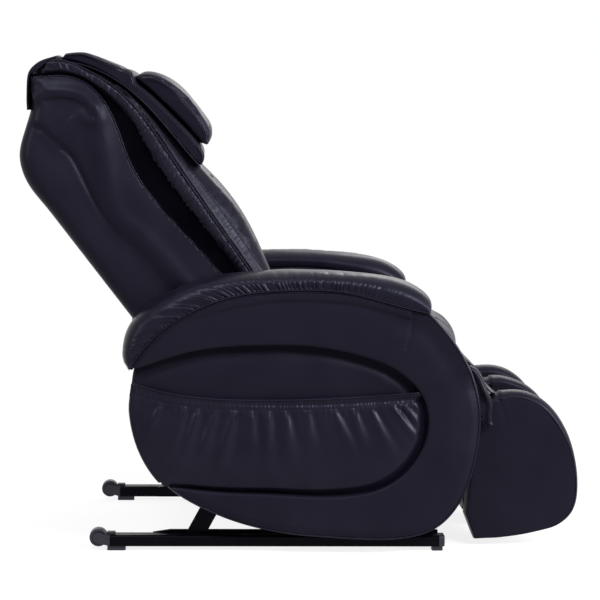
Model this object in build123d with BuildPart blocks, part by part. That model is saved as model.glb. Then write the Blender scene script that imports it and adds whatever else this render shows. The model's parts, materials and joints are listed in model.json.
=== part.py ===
"""Reclining massage chair: upholstered shell chair on a two-runner steel base.

Axes: +X the way the sitter faces, +Y to the sitter's left, +Z up; origin on the floor under the middle of the
chair. Lengths are millimetres. The backrest leans, so its pieces are drawn in back coordinates: u runs up the
back from the recline pivot and w runs out of the back's front face.
"""
import os
from math import cos, pi, radians, sin, tan

from build123d import *

os.makedirs("parts", exist_ok=True)

# ---------------------------------------------------------------- driving dimensions
SIDES = {"right": -1, "left": 1}
seat_gap = 0.3            # clear space between soft pieces and what they lie against
run_fit = 0.05            # radial clearance of a shaft in its bore
plug_fit = 0.2            # width a plug is under its tube

# Widths, from the seat outwards
seat_half = 240.0         # |y| of the seat cushion's sides
rail_beside = 20.0        # from the seat's side to the rail's inner face
rail_width = 25.0
strut_thick = 8.0
panel_tab = 36.0          # from the struts to the side panel
panel_thick = 46.0
arm_overhang = 12.0       # of the armrest over the panel's face
arm_inset = 6.0           # from the seat's side to the armrest
runner_beside = 40.0      # from the rail's outer face to the runner's

# Base frame
foot_height = 9.5
runner_width = 40.0
runner_height = 27.0
runner_wall = 2.5
runner_corner = 6.0
runner_rear = -444.0
runner_front = 322.0
flange_thick = 6.0        # flat bar welded along the inside of each runner
flange_height = 31.0
flange_rear = -345.0
flange_ramp = 40.0
cap_thick = 13.0
plug_length = 22.0
foot_length = 26.0
foot_inset = 10.0         # width of a foot under its runner's
foot_corner = 5.0
foot_taper = 4.0
rear_foot_length = 43.0
wheel_radius = 21.0
wheel_width = 26.0
wheel_axle_radius = 6.0
wheel_behind = 26.0       # wheel axis behind the runner's end
cheek_thick = 6.0
cross_bar = 28.0          # side of the square cross bars

# Struts, uprights and seat rails
strut_width = 47.0
strut_foot = -267.0
strut_lean = 28.2
tab_width = 26.0          # welded tab between a strut or upright and the side panel
tab_height = 24.0
tab_drop = 20.0           # tab's middle below the rail's top
upright_rear = 268.0
upright_width = 43.0
rail_height = 32.0
rail_wall = 2.0
rail_bottom = 330.0
rail_rear = -200.0
rail_front = 392.0
ear_thick = 8.0
ear_foot = 104.0          # length of the recline ear's weld on the rail
hinge_ear_foot = 40.0
foot_weld = 4.0
pin_head = 5.0            # thickness of the pivot pin's head, and its lip
low_bar_level = 196.0     # underside of the cross bar behind
front_bar_level = 240.0   # underside of the cross bar in front

# Recline pivot and backrest
pivot_x = -143.0
pivot_z = 400.0
back_lean = 37.8          # lean of the backrest from upright, degrees
recline_range = 50.0
pivot_pin_radius = 10.0
pivot_ear_radius = 22.0
shell_wall = 6.0
shell_depth = 121.0       # rear face behind the pivot
gusset_thick = 18.0
channel_beside = 14.0     # from the shell's side to the channel
channel_width = 30.0
channel_depth = 36.0
channel_wall = 3.0
channel_low = -30.0
channel_top = 690.0
back_bar = 28.0
lever_side = 70.0         # |y| of both levers
lever_thick = 6.0
lever_gap = 12.0          # from the lever's middle to each plate's inner face
rod_radius = 11.0
rod_pin_radius = 6.0
rod_eye = 12.0            # of a rod past its cross pin
rod_overlap = 65.0        # of the recline rod inside its body
actuator_radius = 20.0
gearbox_width = 50.0
motor_radius = 19.0
motor_length = 70.0
recline_arm = 140.0       # height of the recline rod below its pivot
recline_play = 2.0

# Massage carriage
rack_module = 2.5
pinion_teeth = 16
rack_width = 14.0
carriage_home = 260.0
carriage_travel = 300.0
carriage_length = 150.0
shoe_length = 30.0
shaft_radius = 6.0
roller_radius = 22.0
roller_width = 22.0
roller_spread = 90.0
roller_side = 52.0
roller_forward = 76.0
roller_pin_radius = 5.0

# Seat and footrest
pan_thick = 12.0
pan_rear = -25.0
pan_front = 345.0
pan_inset = 8.0           # from the rail's outer face to the pan's edge
hinge_x = 402.0
hinge_z = 392.0
hinge_rod_radius = 8.0
hinge_tube_radius = 14.0
footrest_range = 80.0
footrest_arm = 87.0       # height of the footrest rod below its hinge
footrest_play = 5.6
footrest_beside = 22.0    # from the seat's side to the calf wall's
calf_wall = 62.0
calf_ridge = 64.0

# Arms and side panels
recess_depth = 26.0
pocket_thick = 6.0
pocket_inset = 3.0
pocket_gap = 0.6          # between the panel's rear edge and the pocket that wraps it
inner_wall_thick = 9.0
inner_wall_gap = 8.0      # between the seat cushion and the arm's inner wall

# Head pad and pillow
head_beside = 25.0        # from the shell's side to the head pad's
pillow_beside = 25.0      # from the head pad's side to the pillow's
flap_beyond = 10.0        # of the rear flap over the head pad's side

# ---------------------------------------------------------------- values that follow
back_half = seat_half     # |y| of the rear shell's side faces
rail_inner = seat_half + rail_beside
rail_outer = rail_inner + rail_width
panel_inner = rail_outer + strut_thick + panel_tab
panel_outer = panel_inner + panel_thick
arm_inner = seat_half + arm_inset
arm_outer = panel_outer + arm_overhang
runner_outer = rail_outer + runner_beside
footrest_half = seat_half + footrest_beside
channel_outer = back_half - channel_beside
head_half = back_half - head_beside
pillow_half = head_half - pillow_beside
flap_half = head_half + flap_beyond
runner_top = foot_height + runner_height
runner_inner = runner_outer - runner_width
runner_middle = runner_outer - runner_width / 2
rail_top = rail_bottom + rail_height
wheel_x = runner_rear - wheel_behind
wheel_z = foot_height + wheel_radius - 1.0
channel_inner = channel_outer - channel_width
pinion_radius = rack_module * pinion_teeth / 2
rack_pitch = pi * rack_module
recline_swing = recline_range / 2
footrest_swing = footrest_range / 2

up_back = Vector(-sin(radians(back_lean)), 0, cos(radians(back_lean)))
back_side = Plane(origin=(pivot_x, 0, pivot_z), x_dir=up_back, z_dir=(0, 1, 0))


def side_plane(y):
    """Side-view plane at this y, X to the right and Z up; an extrusion grows towards -Y."""
    return Plane.XZ.offset(-y)


def reach(sign, inner, outer):
    """The higher and the lower y of a layer between two |y| values on one side of the chair."""
    return max(sign * inner, sign * outer), min(sign * inner, sign * outer)


def finish(part, name):
    """Label a finished sub-part and write it."""
    part.part.label = name
    export_step(part.part, f"parts/{name}.step")


# ---------------------------------------------------------------- base frame
for side, sign in SIDES.items():
    middle = sign * runner_middle
    outer_high = max(sign * runner_inner, sign * runner_outer)

    # Runner: rectangular tube with a flat bar welded along its inner face
    with BuildPart() as runner:
        with BuildSketch(Plane.YZ.offset(runner_rear)):
            with Locations((middle, foot_height + runner_height / 2)):
                RectangleRounded(runner_width, runner_height, runner_corner)
                RectangleRounded(runner_width - 2 * runner_wall, runner_height - 2 * runner_wall,
                                 runner_corner - runner_wall, mode=Mode.SUBTRACT)
        extrude(amount=runner_front - runner_rear)
        high, low = reach(sign, runner_inner - flange_thick, runner_inner)
        flange_bottom = runner_top + runner_corner - flange_height
        with BuildSketch(side_plane(high)):
            with BuildLine():
                Polyline((flange_rear, flange_bottom), (runner_front, flange_bottom),
                         (runner_front, runner_top + runner_corner),
                         (flange_rear + flange_ramp, runner_top + runner_corner),
                         (flange_rear, runner_top), close=True)
            make_face()
        extrude(amount=high - low)
    finish(runner, f"{side}_runner")

    # Front cap: plug in the tube, end plate and the foot under it
    with BuildPart() as cap:
        with BuildSketch(Plane.YZ.offset(runner_front)):
            with Locations((middle, foot_height + runner_height / 2)):
                RectangleRounded(runner_width, runner_height, runner_corner)
        extrude(amount=cap_thick)
        with BuildSketch(Plane.YZ.offset(runner_front)):
            with Locations((middle, foot_height + runner_height / 2)):
                Rectangle(runner_width - 2 * runner_wall - plug_fit, runner_height - 2 * runner_wall - plug_fit)
        extrude(amount=-plug_length)
        fillet(cap.edges().filter_by(Axis.X).group_by(Axis.X)[0], runner_corner - runner_wall)
        with BuildSketch(Plane.XY):
            with Locations((runner_front + cap_thick / 2 - foot_length / 2 + 3, middle)):
                RectangleRounded(foot_length, runner_width - foot_inset, foot_corner)
        extrude(amount=foot_height, taper=foot_taper)
        fillet(cap.faces().sort_by(Axis.X)[-1].edges(), 3)
    finish(cap, f"{side}_front_cap")

    # Wheel housing: plug, end plate, two cheeks with the stub axle, lug above and foot below
    with BuildPart() as housing:
        with BuildSketch(Plane.YZ.offset(runner_rear)):
            with Locations((middle, foot_height + runner_height / 2)):
                RectangleRounded(runner_width - 2 * runner_wall - plug_fit, runner_height - 2 * runner_wall - plug_fit,
                                 runner_corner - runner_wall)
        extrude(amount=plug_length)
        with BuildSketch(Plane.YZ.offset(runner_rear)):
            with Locations((middle, foot_height + runner_height / 2)):
                RectangleRounded(runner_width, runner_height, runner_corner)
        extrude(amount=-cheek_thick)
        for inner, outer in ((runner_inner, runner_inner + cheek_thick),
                             (runner_outer - cheek_thick, runner_outer)):
            high, low = reach(sign, inner, outer)
            with BuildSketch(side_plane(high)):
                with Locations((runner_rear - cheek_thick / 2, foot_height + runner_height / 2)):
                    Rectangle(cheek_thick, runner_height - 6)
                with Locations((wheel_x, wheel_z)):
                    Circle(wheel_radius * 0.6)
                make_hull()
            extrude(amount=high - low)
        with BuildSketch(side_plane(outer_high)):
            with Locations((wheel_x, wheel_z)):
                Circle(wheel_axle_radius)
        extrude(amount=runner_width)
        with BuildSketch(Plane.XY):
            with Locations((runner_rear - cheek_thick + rear_foot_length / 2, middle)):
                RectangleRounded(rear_foot_length, runner_width - foot_inset, foot_corner)
        extrude(amount=foot_height, taper=foot_taper)
        with BuildSketch(Plane.XY.offset(runner_top - 1)):
            with Locations((runner_rear - cheek_thick / 2, middle)):
                Rectangle(cheek_thick, runner_width * 0.4)
        extrude(amount=6.5)
        with BuildSketch(Plane.XY.offset(runner_top)):
            with Locations((runner_rear + 5, middle)):
                Rectangle(16, runner_width * 0.4)
        extrude(amount=5.5)
        high, low = reach(sign, runner_inner + cheek_thick, runner_outer - cheek_thick)
        with BuildSketch(side_plane(high)):
            with Locations((wheel_x, wheel_z)):
                Circle(wheel_radius + 1.5)
                Circle(wheel_axle_radius, mode=Mode.SUBTRACT)
        extrude(amount=high - low, mode=Mode.SUBTRACT)
    finish(housing, f"{side}_wheel_housing")

    # Transport wheel
    with BuildPart() as wheel:
        high, low = reach(sign, runner_middle - wheel_width / 2, runner_middle + wheel_width / 2)
        with BuildSketch(side_plane(high)):
            with Locations((wheel_x, wheel_z)):
                Circle(wheel_radius)
        extrude(amount=high - low)
        fillet(wheel.edges().filter_by(GeomType.CIRCLE), 2.5)
        with BuildSketch(side_plane(high)):
            with Locations((wheel_x, wheel_z)):
                Circle(wheel_axle_radius + run_fit)
        extrude(amount=high - low, mode=Mode.SUBTRACT)
        for face_y, cut in ((high, 2.0), (low, -2.0)):
            with BuildSketch(side_plane(face_y)):
                with Locations((wheel_x, wheel_z)):
                    Circle(wheel_radius - 5)
                    Circle(wheel_axle_radius + 4, mode=Mode.SUBTRACT)
            extrude(amount=cut, mode=Mode.SUBTRACT)
    finish(wheel, f"{side}_transport_wheel")

    # Rear strut: leaning flat bar on the rail's outer face, with the side panel's tab
    strut_high = max(sign * rail_outer, sign * (rail_outer + strut_thick))
    tab_high, tab_low = reach(sign, rail_outer + strut_thick, panel_inner)
    with BuildPart() as strut:
        shift = (rail_top - runner_top) * tan(radians(strut_lean))
        with BuildSketch(side_plane(strut_high)):
            with BuildLine():
                Polyline((strut_foot, runner_top), (strut_foot + strut_width, runner_top),
                         (strut_foot + strut_width + shift, rail_top), (strut_foot + shift, rail_top), close=True)
            make_face()
        extrude(amount=strut_thick)
        with BuildSketch(side_plane(tab_high)):
            with Locations((strut_foot + strut_width / 2 + shift - 10, rail_top - tab_drop)):
                Rectangle(tab_width, tab_height)
        extrude(amount=tab_high - tab_low)
    finish(strut, f"{side}_rear_strut")

    # Front upright, with the side panel's tab
    with BuildPart() as upright:
        with BuildSketch(side_plane(strut_high)):
            with Locations((upright_rear + upright_width / 2, (runner_top + rail_top) / 2)):
                Rectangle(upright_width, rail_top - runner_top)
        extrude(amount=strut_thick)
        with BuildSketch(side_plane(tab_high)):
            with Locations((upright_rear + upright_width / 2, rail_top - tab_drop)):
                Rectangle(tab_width, tab_height)
        extrude(amount=tab_high - tab_low)
    finish(upright, f"{side}_front_upright")

    # Seat rail: tube along the seat with the footrest ear and the recline ear, which carries its headed pin
    with BuildPart() as rail:
        with BuildSketch(Plane.YZ.offset(rail_rear)):
            with Locations((sign * (rail_outer - rail_width / 2), rail_bottom + rail_height / 2)):
                Rectangle(rail_width, rail_height)
                Rectangle(rail_width - 2 * rail_wall, rail_height - 2 * rail_wall, mode=Mode.SUBTRACT)
        extrude(amount=rail_front - rail_rear)
        high, low = reach(sign, rail_inner, rail_inner + ear_thick)
        with BuildSketch(side_plane(high)):
            with Locations((pivot_x, rail_top + foot_weld / 2)):
                Rectangle(ear_foot, foot_weld)
            with Locations((pivot_x, pivot_z)):
                Circle(pivot_ear_radius)
            make_hull()
        extrude(amount=high - low)
        with BuildSketch(side_plane(high)):
            with Locations((rail_front - hinge_ear_foot / 2, rail_top - rail_wall / 2)):
                Rectangle(hinge_ear_foot, rail_wall)
            with Locations((hinge_x, hinge_z)):
                Circle(hinge_tube_radius + 4)
            make_hull()
        extrude(amount=high - low)
        with BuildSketch(side_plane(high)):
            with Locations((hinge_x, hinge_z)):
                Circle(hinge_rod_radius + run_fit)
        extrude(amount=high - low, mode=Mode.SUBTRACT)
        high, low = reach(sign, channel_inner - 4, rail_inner + ear_thick)
        with BuildSketch(side_plane(high)):
            with Locations((pivot_x, pivot_z)):
                Circle(pivot_pin_radius)
        extrude(amount=high - low)
        high, low = reach(sign, rail_inner + ear_thick, rail_inner + ear_thick + pin_head)
        with BuildSketch(side_plane(high)):
            with Locations((pivot_x, pivot_z)):
                Circle(pivot_pin_radius + pin_head)
        extrude(amount=high - low)
    finish(rail, f"{side}_seat_rail")


# Cross bars: (name, rear face x, underside z, half length)
rear_bar_x = strut_foot + strut_width / 2 + (low_bar_level - runner_top) * tan(radians(strut_lean)) - cross_bar / 2
middle_bar_x = -15.0
cross_bars = (
    ("lower_cross_bar", upright_rear, foot_height, runner_inner - flange_thick),
    ("rear_cross_bar", rear_bar_x, low_bar_level, rail_outer),
    ("front_cross_bar", upright_rear, front_bar_level, rail_outer),
    ("middle_cross_bar", middle_bar_x, rail_top - cross_bar, rail_inner),
)
for name, rear_face, underside, half in cross_bars:
    with BuildPart() as bar:
        with BuildSketch(side_plane(half)):
            with Locations((rear_face + cross_bar / 2, underside + cross_bar / 2)):
                Rectangle(cross_bar, cross_bar)
                Rectangle(cross_bar - 2 * rail_wall, cross_bar - 2 * rail_wall, mode=Mode.SUBTRACT)
        extrude(amount=2 * half)
    finish(bar, name)

# Rod through both front ears that carries the footrest
with BuildPart() as hinge_rod:
    hinge_rod_half = rail_inner + ear_thick + 4
    with BuildSketch(side_plane(hinge_rod_half)):
        with Locations((hinge_x, hinge_z)):
            Circle(hinge_rod_radius)
    extrude(amount=2 * hinge_rod_half)
finish(hinge_rod, "footrest_hinge_rod")

# ---------------------------------------------------------------- seat
with BuildPart() as seat_pan:
    with BuildSketch(Plane.XY.offset(rail_top)):
        with Locations(((pan_rear + pan_front) / 2, 0)):
            RectangleRounded(pan_front - pan_rear, 2 * (rail_outer - pan_inset), 12)
    extrude(amount=pan_thick)
finish(seat_pan, "seat_pan")

cushion_bottom = rail_top + pan_thick + seat_gap
cushion_nose = ((396, 420), (406, 446), (398, 480), (353, 523), (290, 541))
cushion_top = ((290, 541), (200, 517), (90, 474), (20, 446), (-24, 424))
with BuildPart() as seat_cushion:
    with BuildSketch(side_plane(seat_half)):
        with BuildLine():
            Spline(*cushion_nose)
            Spline(*cushion_top)
            Polyline(cushion_top[-1], (cushion_top[-1][0], cushion_bottom), (354, cushion_bottom), (374, 407),
                     cushion_nose[0])
        make_face()
    extrude(amount=2 * seat_half)
finish(seat_cushion, "seat_cushion")

# ---------------------------------------------------------------- side panels, pockets and arms
panel_edge = ((-388, 431), (-395, 345), (-373, 243), (-324, 168), (-247, 114), (-155, 75), (-28, 46), (84, 37),
              (236, 37), (311, 61), (373, 135), (404, 235), (412, 310), (402, 382), (356, 481), (288, 562))
arm_seam = ((-398, 428), (-364, 480), (-272, 555), (-164, 598), (-37, 613), (92, 609), (195, 584), (288, 562))
arm_crown = ((288, 562), (293, 584), (264, 617), (174, 644), (50, 654), (-104, 651), (-223, 636), (-322, 596),
             (-393, 536), (-415, 476), (-410, 440), (-398, 428))
recess_top = ((-420, 418), (-382, 430), (-264, 468), (-111, 485), (20, 483), (119, 465), (225, 421), (277, 360),
              (287, 315), (277, 255), (224, 182), (130, 142))
recess_floor = ((130, 142), (57, 136), (-80, 142), (-170, 145), (-262, 153), (-420, 170))
pocket_mouth = ((-391, 399), (-279, 371), (-110, 361), (79, 366), (266, 380))

for side, sign in SIDES.items():
    # Side panel: D-shaped board with a recess that is open to the rear
    with BuildPart() as side_panel:
        high, low = reach(sign, panel_inner, panel_outer)
        with BuildSketch(side_plane(high)):
            with BuildLine():
                Spline(*panel_edge)
                Spline(*arm_seam)
                Line(arm_seam[0], panel_edge[0])
            make_face()
        extrude(amount=high - low)
        recess_high, recess_low = reach(sign, panel_outer - recess_depth, panel_outer)
        with BuildSketch(side_plane(recess_high)):
            with BuildLine():
                Spline(*recess_top)
                Spline(*recess_floor)
                Line(recess_floor[-1], recess_top[0])
            make_face()
        extrude(amount=recess_high - recess_low, mode=Mode.SUBTRACT)
    finish(side_panel, f"{side}_side_panel")

    # Pocket: sheet across the recess up to its mouth, wrapped round the panel's rear edge
    with BuildPart() as pocket:
        pocket_face = panel_outer - pocket_inset
        high, low = reach(sign, pocket_face - pocket_thick, pocket_face)
        with BuildSketch(side_plane(high)):
            with BuildLine():
                Spline(*recess_top)
                Spline(*recess_floor)
                Line(recess_floor[-1], recess_top[0])
            make_face()
        extrude(amount=high - low)
        with BuildSketch(side_plane(high)):
            with BuildLine():
                Spline(*pocket_mouth)
                Polyline(pocket_mouth[-1], (330, 400), (330, 520), (-430, 520), (-430, 405), pocket_mouth[0])
            make_face()
        extrude(amount=high - low, mode=Mode.SUBTRACT)
        rear_edge = [(x - pocket_gap, z) for x, z in panel_edge[:4]]
        with BuildSketch(side_plane(high)):
            with BuildLine():
                Spline(*rear_edge)
                Polyline(rear_edge[3], (-324, 130), (-430, 130), (-430, 431), rear_edge[0])
            make_face()
        extrude(amount=high - low, mode=Mode.SUBTRACT)
        wrap_high, wrap_low = reach(sign, panel_inner, pocket_face)
        with BuildSketch(side_plane(wrap_high)):
            with BuildLine():
                Spline(*rear_edge)
                Line(rear_edge[3], (-330, 164))
                Spline((-330, 164), (-379, 241), (-401, 345), (-394, 432))
                Line((-394, 432), rear_edge[0])
            make_face()
        extrude(amount=wrap_high - wrap_low)
        with BuildSketch(side_plane(wrap_high)):
            with Locations((-390, 425)):
                Rectangle(60, 56)
        extrude(amount=wrap_high - wrap_low, mode=Mode.SUBTRACT)
    finish(pocket, f"{side}_side_pocket")

    # Armrest: padded roll over the panel and the inner wall
    with BuildPart() as armrest:
        high, low = reach(sign, arm_inner, arm_outer)
        with BuildSketch(side_plane(high)):
            with BuildLine():
                Spline(*arm_seam)
                Spline(*arm_crown)
            make_face()
        extrude(amount=high - low)
    finish(armrest, f"{side}_armrest")

    # Inner wall of the arm, with the return that closes the arm's front
    with BuildPart() as inner_wall:
        wall_face = seat_half + inner_wall_gap
        high, low = reach(sign, wall_face, wall_face + inner_wall_thick)
        with BuildSketch(side_plane(high)):
            with BuildLine():
                Spline(*arm_seam)
                Spline((288, 562), (345, 492), (372, 430))
                Polyline((372, 430), (340, 416), (-330, 416), (-398, 428))
            make_face()
        extrude(amount=high - low)
        return_high, return_low = reach(sign, wall_face, panel_inner)
        with BuildSketch(side_plane(return_high)):
            with BuildLine():
                Spline((286, 560), (344, 491), (371, 430))
                Line((371, 430), (361, 430))
                Spline((361, 430), (335, 485), (277, 558))
                Line((277, 558), (286, 560))
            make_face()
        extrude(amount=return_high - return_low)
    finish(inner_wall, f"{side}_arm_inner_wall")

# ---------------------------------------------------------------- backrest
shell_rear = ((-20, -shell_depth), (252, -shell_depth), (567, -shell_depth), (656, -shell_depth), (716, -98),
              (757, -50), (794, 0), (843, 37))
shell_inside = ((567, shell_wall - shell_depth), (652, -114), (708, -92), (750, -44), (786, 6), (834, 42))
shell_rim = ((843, 37), (832, 56), (804, 94), (777, 119), (744, 133), (677, 135), (550, 99), (437, 91),
             (311, 102), (216, 108), (-20, 104))
wing_edge = ((846, 62), (845, 96), (782, 148), (676, 183), (538, 184), (351, 174), (179, 167), (-24, 150))
cushion_front = ((835, 105), (787, 150), (681, 197), (556, 212), (444, 218), (302, 227), (134, 196), (-24, 172))

with BuildPart() as rear_shell:
    with BuildSketch(back_side.offset(-back_half)):
        with BuildLine():
            Line(shell_rear[0], shell_rear[2])
            Spline(*shell_rear[2:], tangents=[(1, 0), (0.9, 0.5)])
            Spline(*shell_rim)
            Line(shell_rim[-1], shell_rear[0])
        make_face()
    extrude(amount=2 * back_half)
    inside_half = back_half - shell_wall
    with BuildSketch(back_side.offset(-inside_half)):
        with BuildLine():
            Line((-30, shell_inside[0][1]), shell_inside[0])
            Spline(*shell_inside, tangents=[(1, 0), (0.9, 0.5)])
            Polyline(shell_inside[-1], (900, 160), (-30, 160), (-30, shell_inside[0][1]))
        make_face()
    extrude(amount=2 * inside_half, mode=Mode.SUBTRACT)
    with BuildSketch(back_side.offset(-back_half)):
        Circle(pivot_pin_radius + 2)
    extrude(amount=2 * back_half, mode=Mode.SUBTRACT)
finish(rear_shell, "backrest_shell")

cushion_half = back_half - gusset_thick - seat_gap
with BuildPart() as back_cushion:
    with BuildSketch(back_side.offset(-cushion_half)):
        with BuildLine():
            Spline(*cushion_front)
            Polyline(cushion_front[-1], (-30, 106), (740, 106), (835, 60), cushion_front[0])
        make_face()
    extrude(amount=2 * cushion_half)
finish(back_cushion, "backrest_cushion")

rack_teeth = int((carriage_travel + 140) / rack_pitch)
rack_length = rack_teeth * rack_pitch
first_tooth = carriage_home - rack_pitch * int(70 / rack_pitch)
pitch_line = -channel_depth / 2 + 8

for side, sign in SIDES.items():
    # Soft side gusset between the shell's rim and the wing's edge
    with BuildPart() as gusset:
        high, low = reach(sign, back_half - gusset_thick, back_half)
        with BuildSketch(back_side.offset(low)):
            with BuildLine():
                Spline(*[(u, w + seat_gap) for u, w in shell_rim])
                Line((shell_rim[-1][0], shell_rim[-1][1] + seat_gap), wing_edge[-1])
                Spline(*wing_edge)
                Line(wing_edge[0], (shell_rim[0][0], shell_rim[0][1] + seat_gap))
            make_face()
        extrude(amount=high - low)
    finish(gusset, f"{side}_side_gusset")

    # Frame channel, open towards the middle, with the pivot boss at its foot and the gear rack on its edge
    with BuildPart() as channel:
        high, low = reach(sign, channel_inner, channel_outer)
        channel_middle = (channel_low + channel_top) / 2
        with BuildSketch(back_side.offset(low)):
            with Locations((channel_middle, 0)):
                Rectangle(channel_top - channel_low, channel_depth)
        extrude(amount=high - low)
        high, low = reach(sign, channel_inner, channel_outer - channel_wall)
        with BuildSketch(back_side.offset(low)):
            with Locations((channel_middle, 0)):
                Rectangle(channel_top - channel_low, channel_depth - 2 * channel_wall)
        extrude(amount=high - low, mode=Mode.SUBTRACT)
        with BuildSketch(back_side.offset(low)):
            Circle(channel_depth / 2)
        extrude(amount=high - low)
        high, low = reach(sign, channel_inner, channel_outer)
        with BuildSketch(back_side.offset(low)):
            Circle(pivot_pin_radius + run_fit)
        extrude(amount=high - low, mode=Mode.SUBTRACT)
        # Gear rack along the inner edge, teeth towards the front
        high, low = reach(sign, channel_inner - rack_width, channel_inner)
        with BuildSketch(back_side.offset(low)):
            with Locations((first_tooth - rack_pitch / 2 + rack_length / 2, -channel_depth / 2 + 2.25)):
                Rectangle(rack_length, 4.5)
            with BuildLine(mode=Mode.PRIVATE) as tooth_line:
                Polyline((-2.75, -4), (2.75, -4), (0.95, 2.2), (-0.95, 2.2), close=True)
            tooth = make_face(tooth_line.edges(), mode=Mode.PRIVATE)
            with Locations(*[(first_tooth + i * rack_pitch, pitch_line) for i in range(rack_teeth)]):
                add(tooth)
        extrude(amount=high - low)
    finish(channel, f"{side}_back_channel")

with BuildPart() as upper_bar:
    with BuildSketch(back_side.offset(-inside_half)):
        with Locations((channel_top + back_bar / 2, 0)):
            Rectangle(back_bar, back_bar)
            Rectangle(back_bar - 2 * rail_wall, back_bar - 2 * rail_wall, mode=Mode.SUBTRACT)
    extrude(amount=2 * inside_half)
finish(upper_bar, "back_upper_bar")


def draw_lever(pivot, angle, arm, swing, play, root, root_radius):
    """Lever outline with its radial slot, drawn in the open sketch; angle is the slot's direction."""
    slot_half = rod_pin_radius + play
    near = arm - 1.5
    far = arm / cos(radians(swing)) + 1.5
    ray = Vector(cos(radians(angle)), sin(radians(angle)))
    tip = Vector(*pivot) + ray * far
    middle = Vector(*pivot) + ray * ((near + far) / 2)
    with Locations(root):
        Circle(root_radius)
    with Locations((tip.X, tip.Y)):
        Circle(slot_half + 6)
    make_hull()
    with Locations((middle.X, middle.Y)):
        SlotCenterToCenter(far - near, 2 * slot_half, rotation=angle, mode=Mode.SUBTRACT)


# Lower cross bar with the recline lever's two plates welded on
with BuildPart() as recline_lever:
    lower_bar_u = 40.0
    lever_angle = back_lean + recline_swing - 180.0
    with BuildSketch(back_side.offset(-channel_inner)):
        with Locations((lower_bar_u, 0)):
            Rectangle(back_bar, back_bar)
            Rectangle(back_bar - 2 * rail_wall, back_bar - 2 * rail_wall, mode=Mode.SUBTRACT)
    extrude(amount=2 * channel_inner)
    for plate_low in (lever_side - lever_gap - lever_thick, lever_side + lever_gap):
        with BuildSketch(back_side.offset(plate_low)):
            draw_lever((0, 0), lever_angle, recline_arm, recline_swing, recline_play, (lower_bar_u, 0),
                       back_bar * 0.75)
        extrude(amount=lever_thick)
finish(recline_lever, "recline_lever")

# ---------------------------------------------------------------- massage carriage
axle_w = pitch_line + pinion_radius
with BuildPart() as carriage:
    cheek_half = channel_inner - rack_width - 16
    # Rear plate
    with BuildSketch(back_side.offset(-cheek_half)):
        with Locations((carriage_home, -28)):
            Rectangle(carriage_length, 4)
    extrude(amount=2 * cheek_half)
    for sign in SIDES.values():
        # Cheek with the shaft's bearing
        high, low = reach(sign, cheek_half - 6, cheek_half)
        with BuildSketch(back_side.offset(low)):
            with Locations((carriage_home, 3)):
                RectangleRounded(carriage_length, 58, 10)
        extrude(amount=high - low)
        # Guide shoes in the channel, each on an arm that passes in front of the rack
        for end in (-1, 1):
            shoe_u = carriage_home + end * (carriage_length - shoe_length) / 2
            high, low = reach(sign, channel_inner + 2, channel_outer - channel_wall - 1)
            with BuildSketch(back_side.offset(low)):
                with Locations((shoe_u, 0)):
                    RectangleRounded(shoe_length, channel_depth - 2 * channel_wall - plug_fit, 4)
            extrude(amount=high - low)
            high, low = reach(sign, cheek_half - 1, channel_inner + 3)
            with BuildSketch(back_side.offset(low)):
                with Locations((shoe_u, 5.5)):
                    Rectangle(shoe_length, 18)
            extrude(amount=high - low)
        # V-shaped roller arm with its two roller pins
        high, low = reach(sign, roller_side - 8, roller_side - 2)
        with BuildSketch(back_side.offset(low)):
            for end in (-1, 1):
                with BuildSketch(mode=Mode.PRIVATE) as limb:
                    with Locations((carriage_home, axle_w - 14)):
                        Circle(24)
                    with Locations((carriage_home + end * roller_spread / 2, roller_forward)):
                        Circle(9)
                    make_hull()
                add(limb.sketch)
        extrude(amount=high - low)
        high, low = reach(sign, roller_side - 2, roller_side + roller_width + 2)
        with BuildSketch(back_side.offset(low)):
            with Locations(*[(carriage_home + end * roller_spread / 2, roller_forward) for end in (-1, 1)]):
                Circle(roller_pin_radius)
        extrude(amount=high - low)
    # Shaft bores
    with BuildSketch(back_side.offset(-cheek_half)):
        with Locations((carriage_home, axle_w)):
            Circle(shaft_radius + run_fit)
    extrude(amount=2 * cheek_half, mode=Mode.SUBTRACT)
finish(carriage, "massage_carriage")

motor_depth = 38.0
motor_w = -30.0 - motor_depth / 2
with BuildPart() as carriage_motor:
    with BuildSketch(back_side.offset(-70)):
        with Locations((carriage_home, motor_w)):
            RectangleRounded(2 * motor_depth, motor_depth, 8)
    extrude(amount=140)
    with BuildSketch(back_side.offset(70)):
        with Locations((carriage_home, motor_w)):
            Circle(15)
    extrude(amount=40)
finish(carriage_motor, "carriage_motor")

with BuildPart() as drive_shaft:
    shaft_half = channel_inner - 1
    with BuildSketch(back_side.offset(-shaft_half)):
        with Locations((carriage_home, axle_w)):
            Circle(shaft_radius)
    extrude(amount=2 * shaft_half)
    tooth_angle = 360 / pinion_teeth
    for sign in SIDES.values():
        high, low = reach(sign, channel_inner - rack_width + 0.5, channel_inner - 1)
        with BuildSketch(back_side.offset(low)):
            with Locations((carriage_home, axle_w)):
                Circle(pinion_radius - 2.8)
                with PolarLocations(pinion_radius, pinion_teeth, start_angle=90 + tooth_angle / 2):
                    with BuildLine(mode=Mode.PRIVATE) as flank:
                        Polyline((-3.4, -2.5), (0, -1.7), (2.1, -0.8), (2.1, 0.8), (0, 1.7), (-3.4, 2.5),
                                 close=True)
                    add(make_face(flank.edges(), mode=Mode.PRIVATE))
        extrude(amount=high - low)
finish(drive_shaft, "carriage_drive_shaft")

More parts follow.
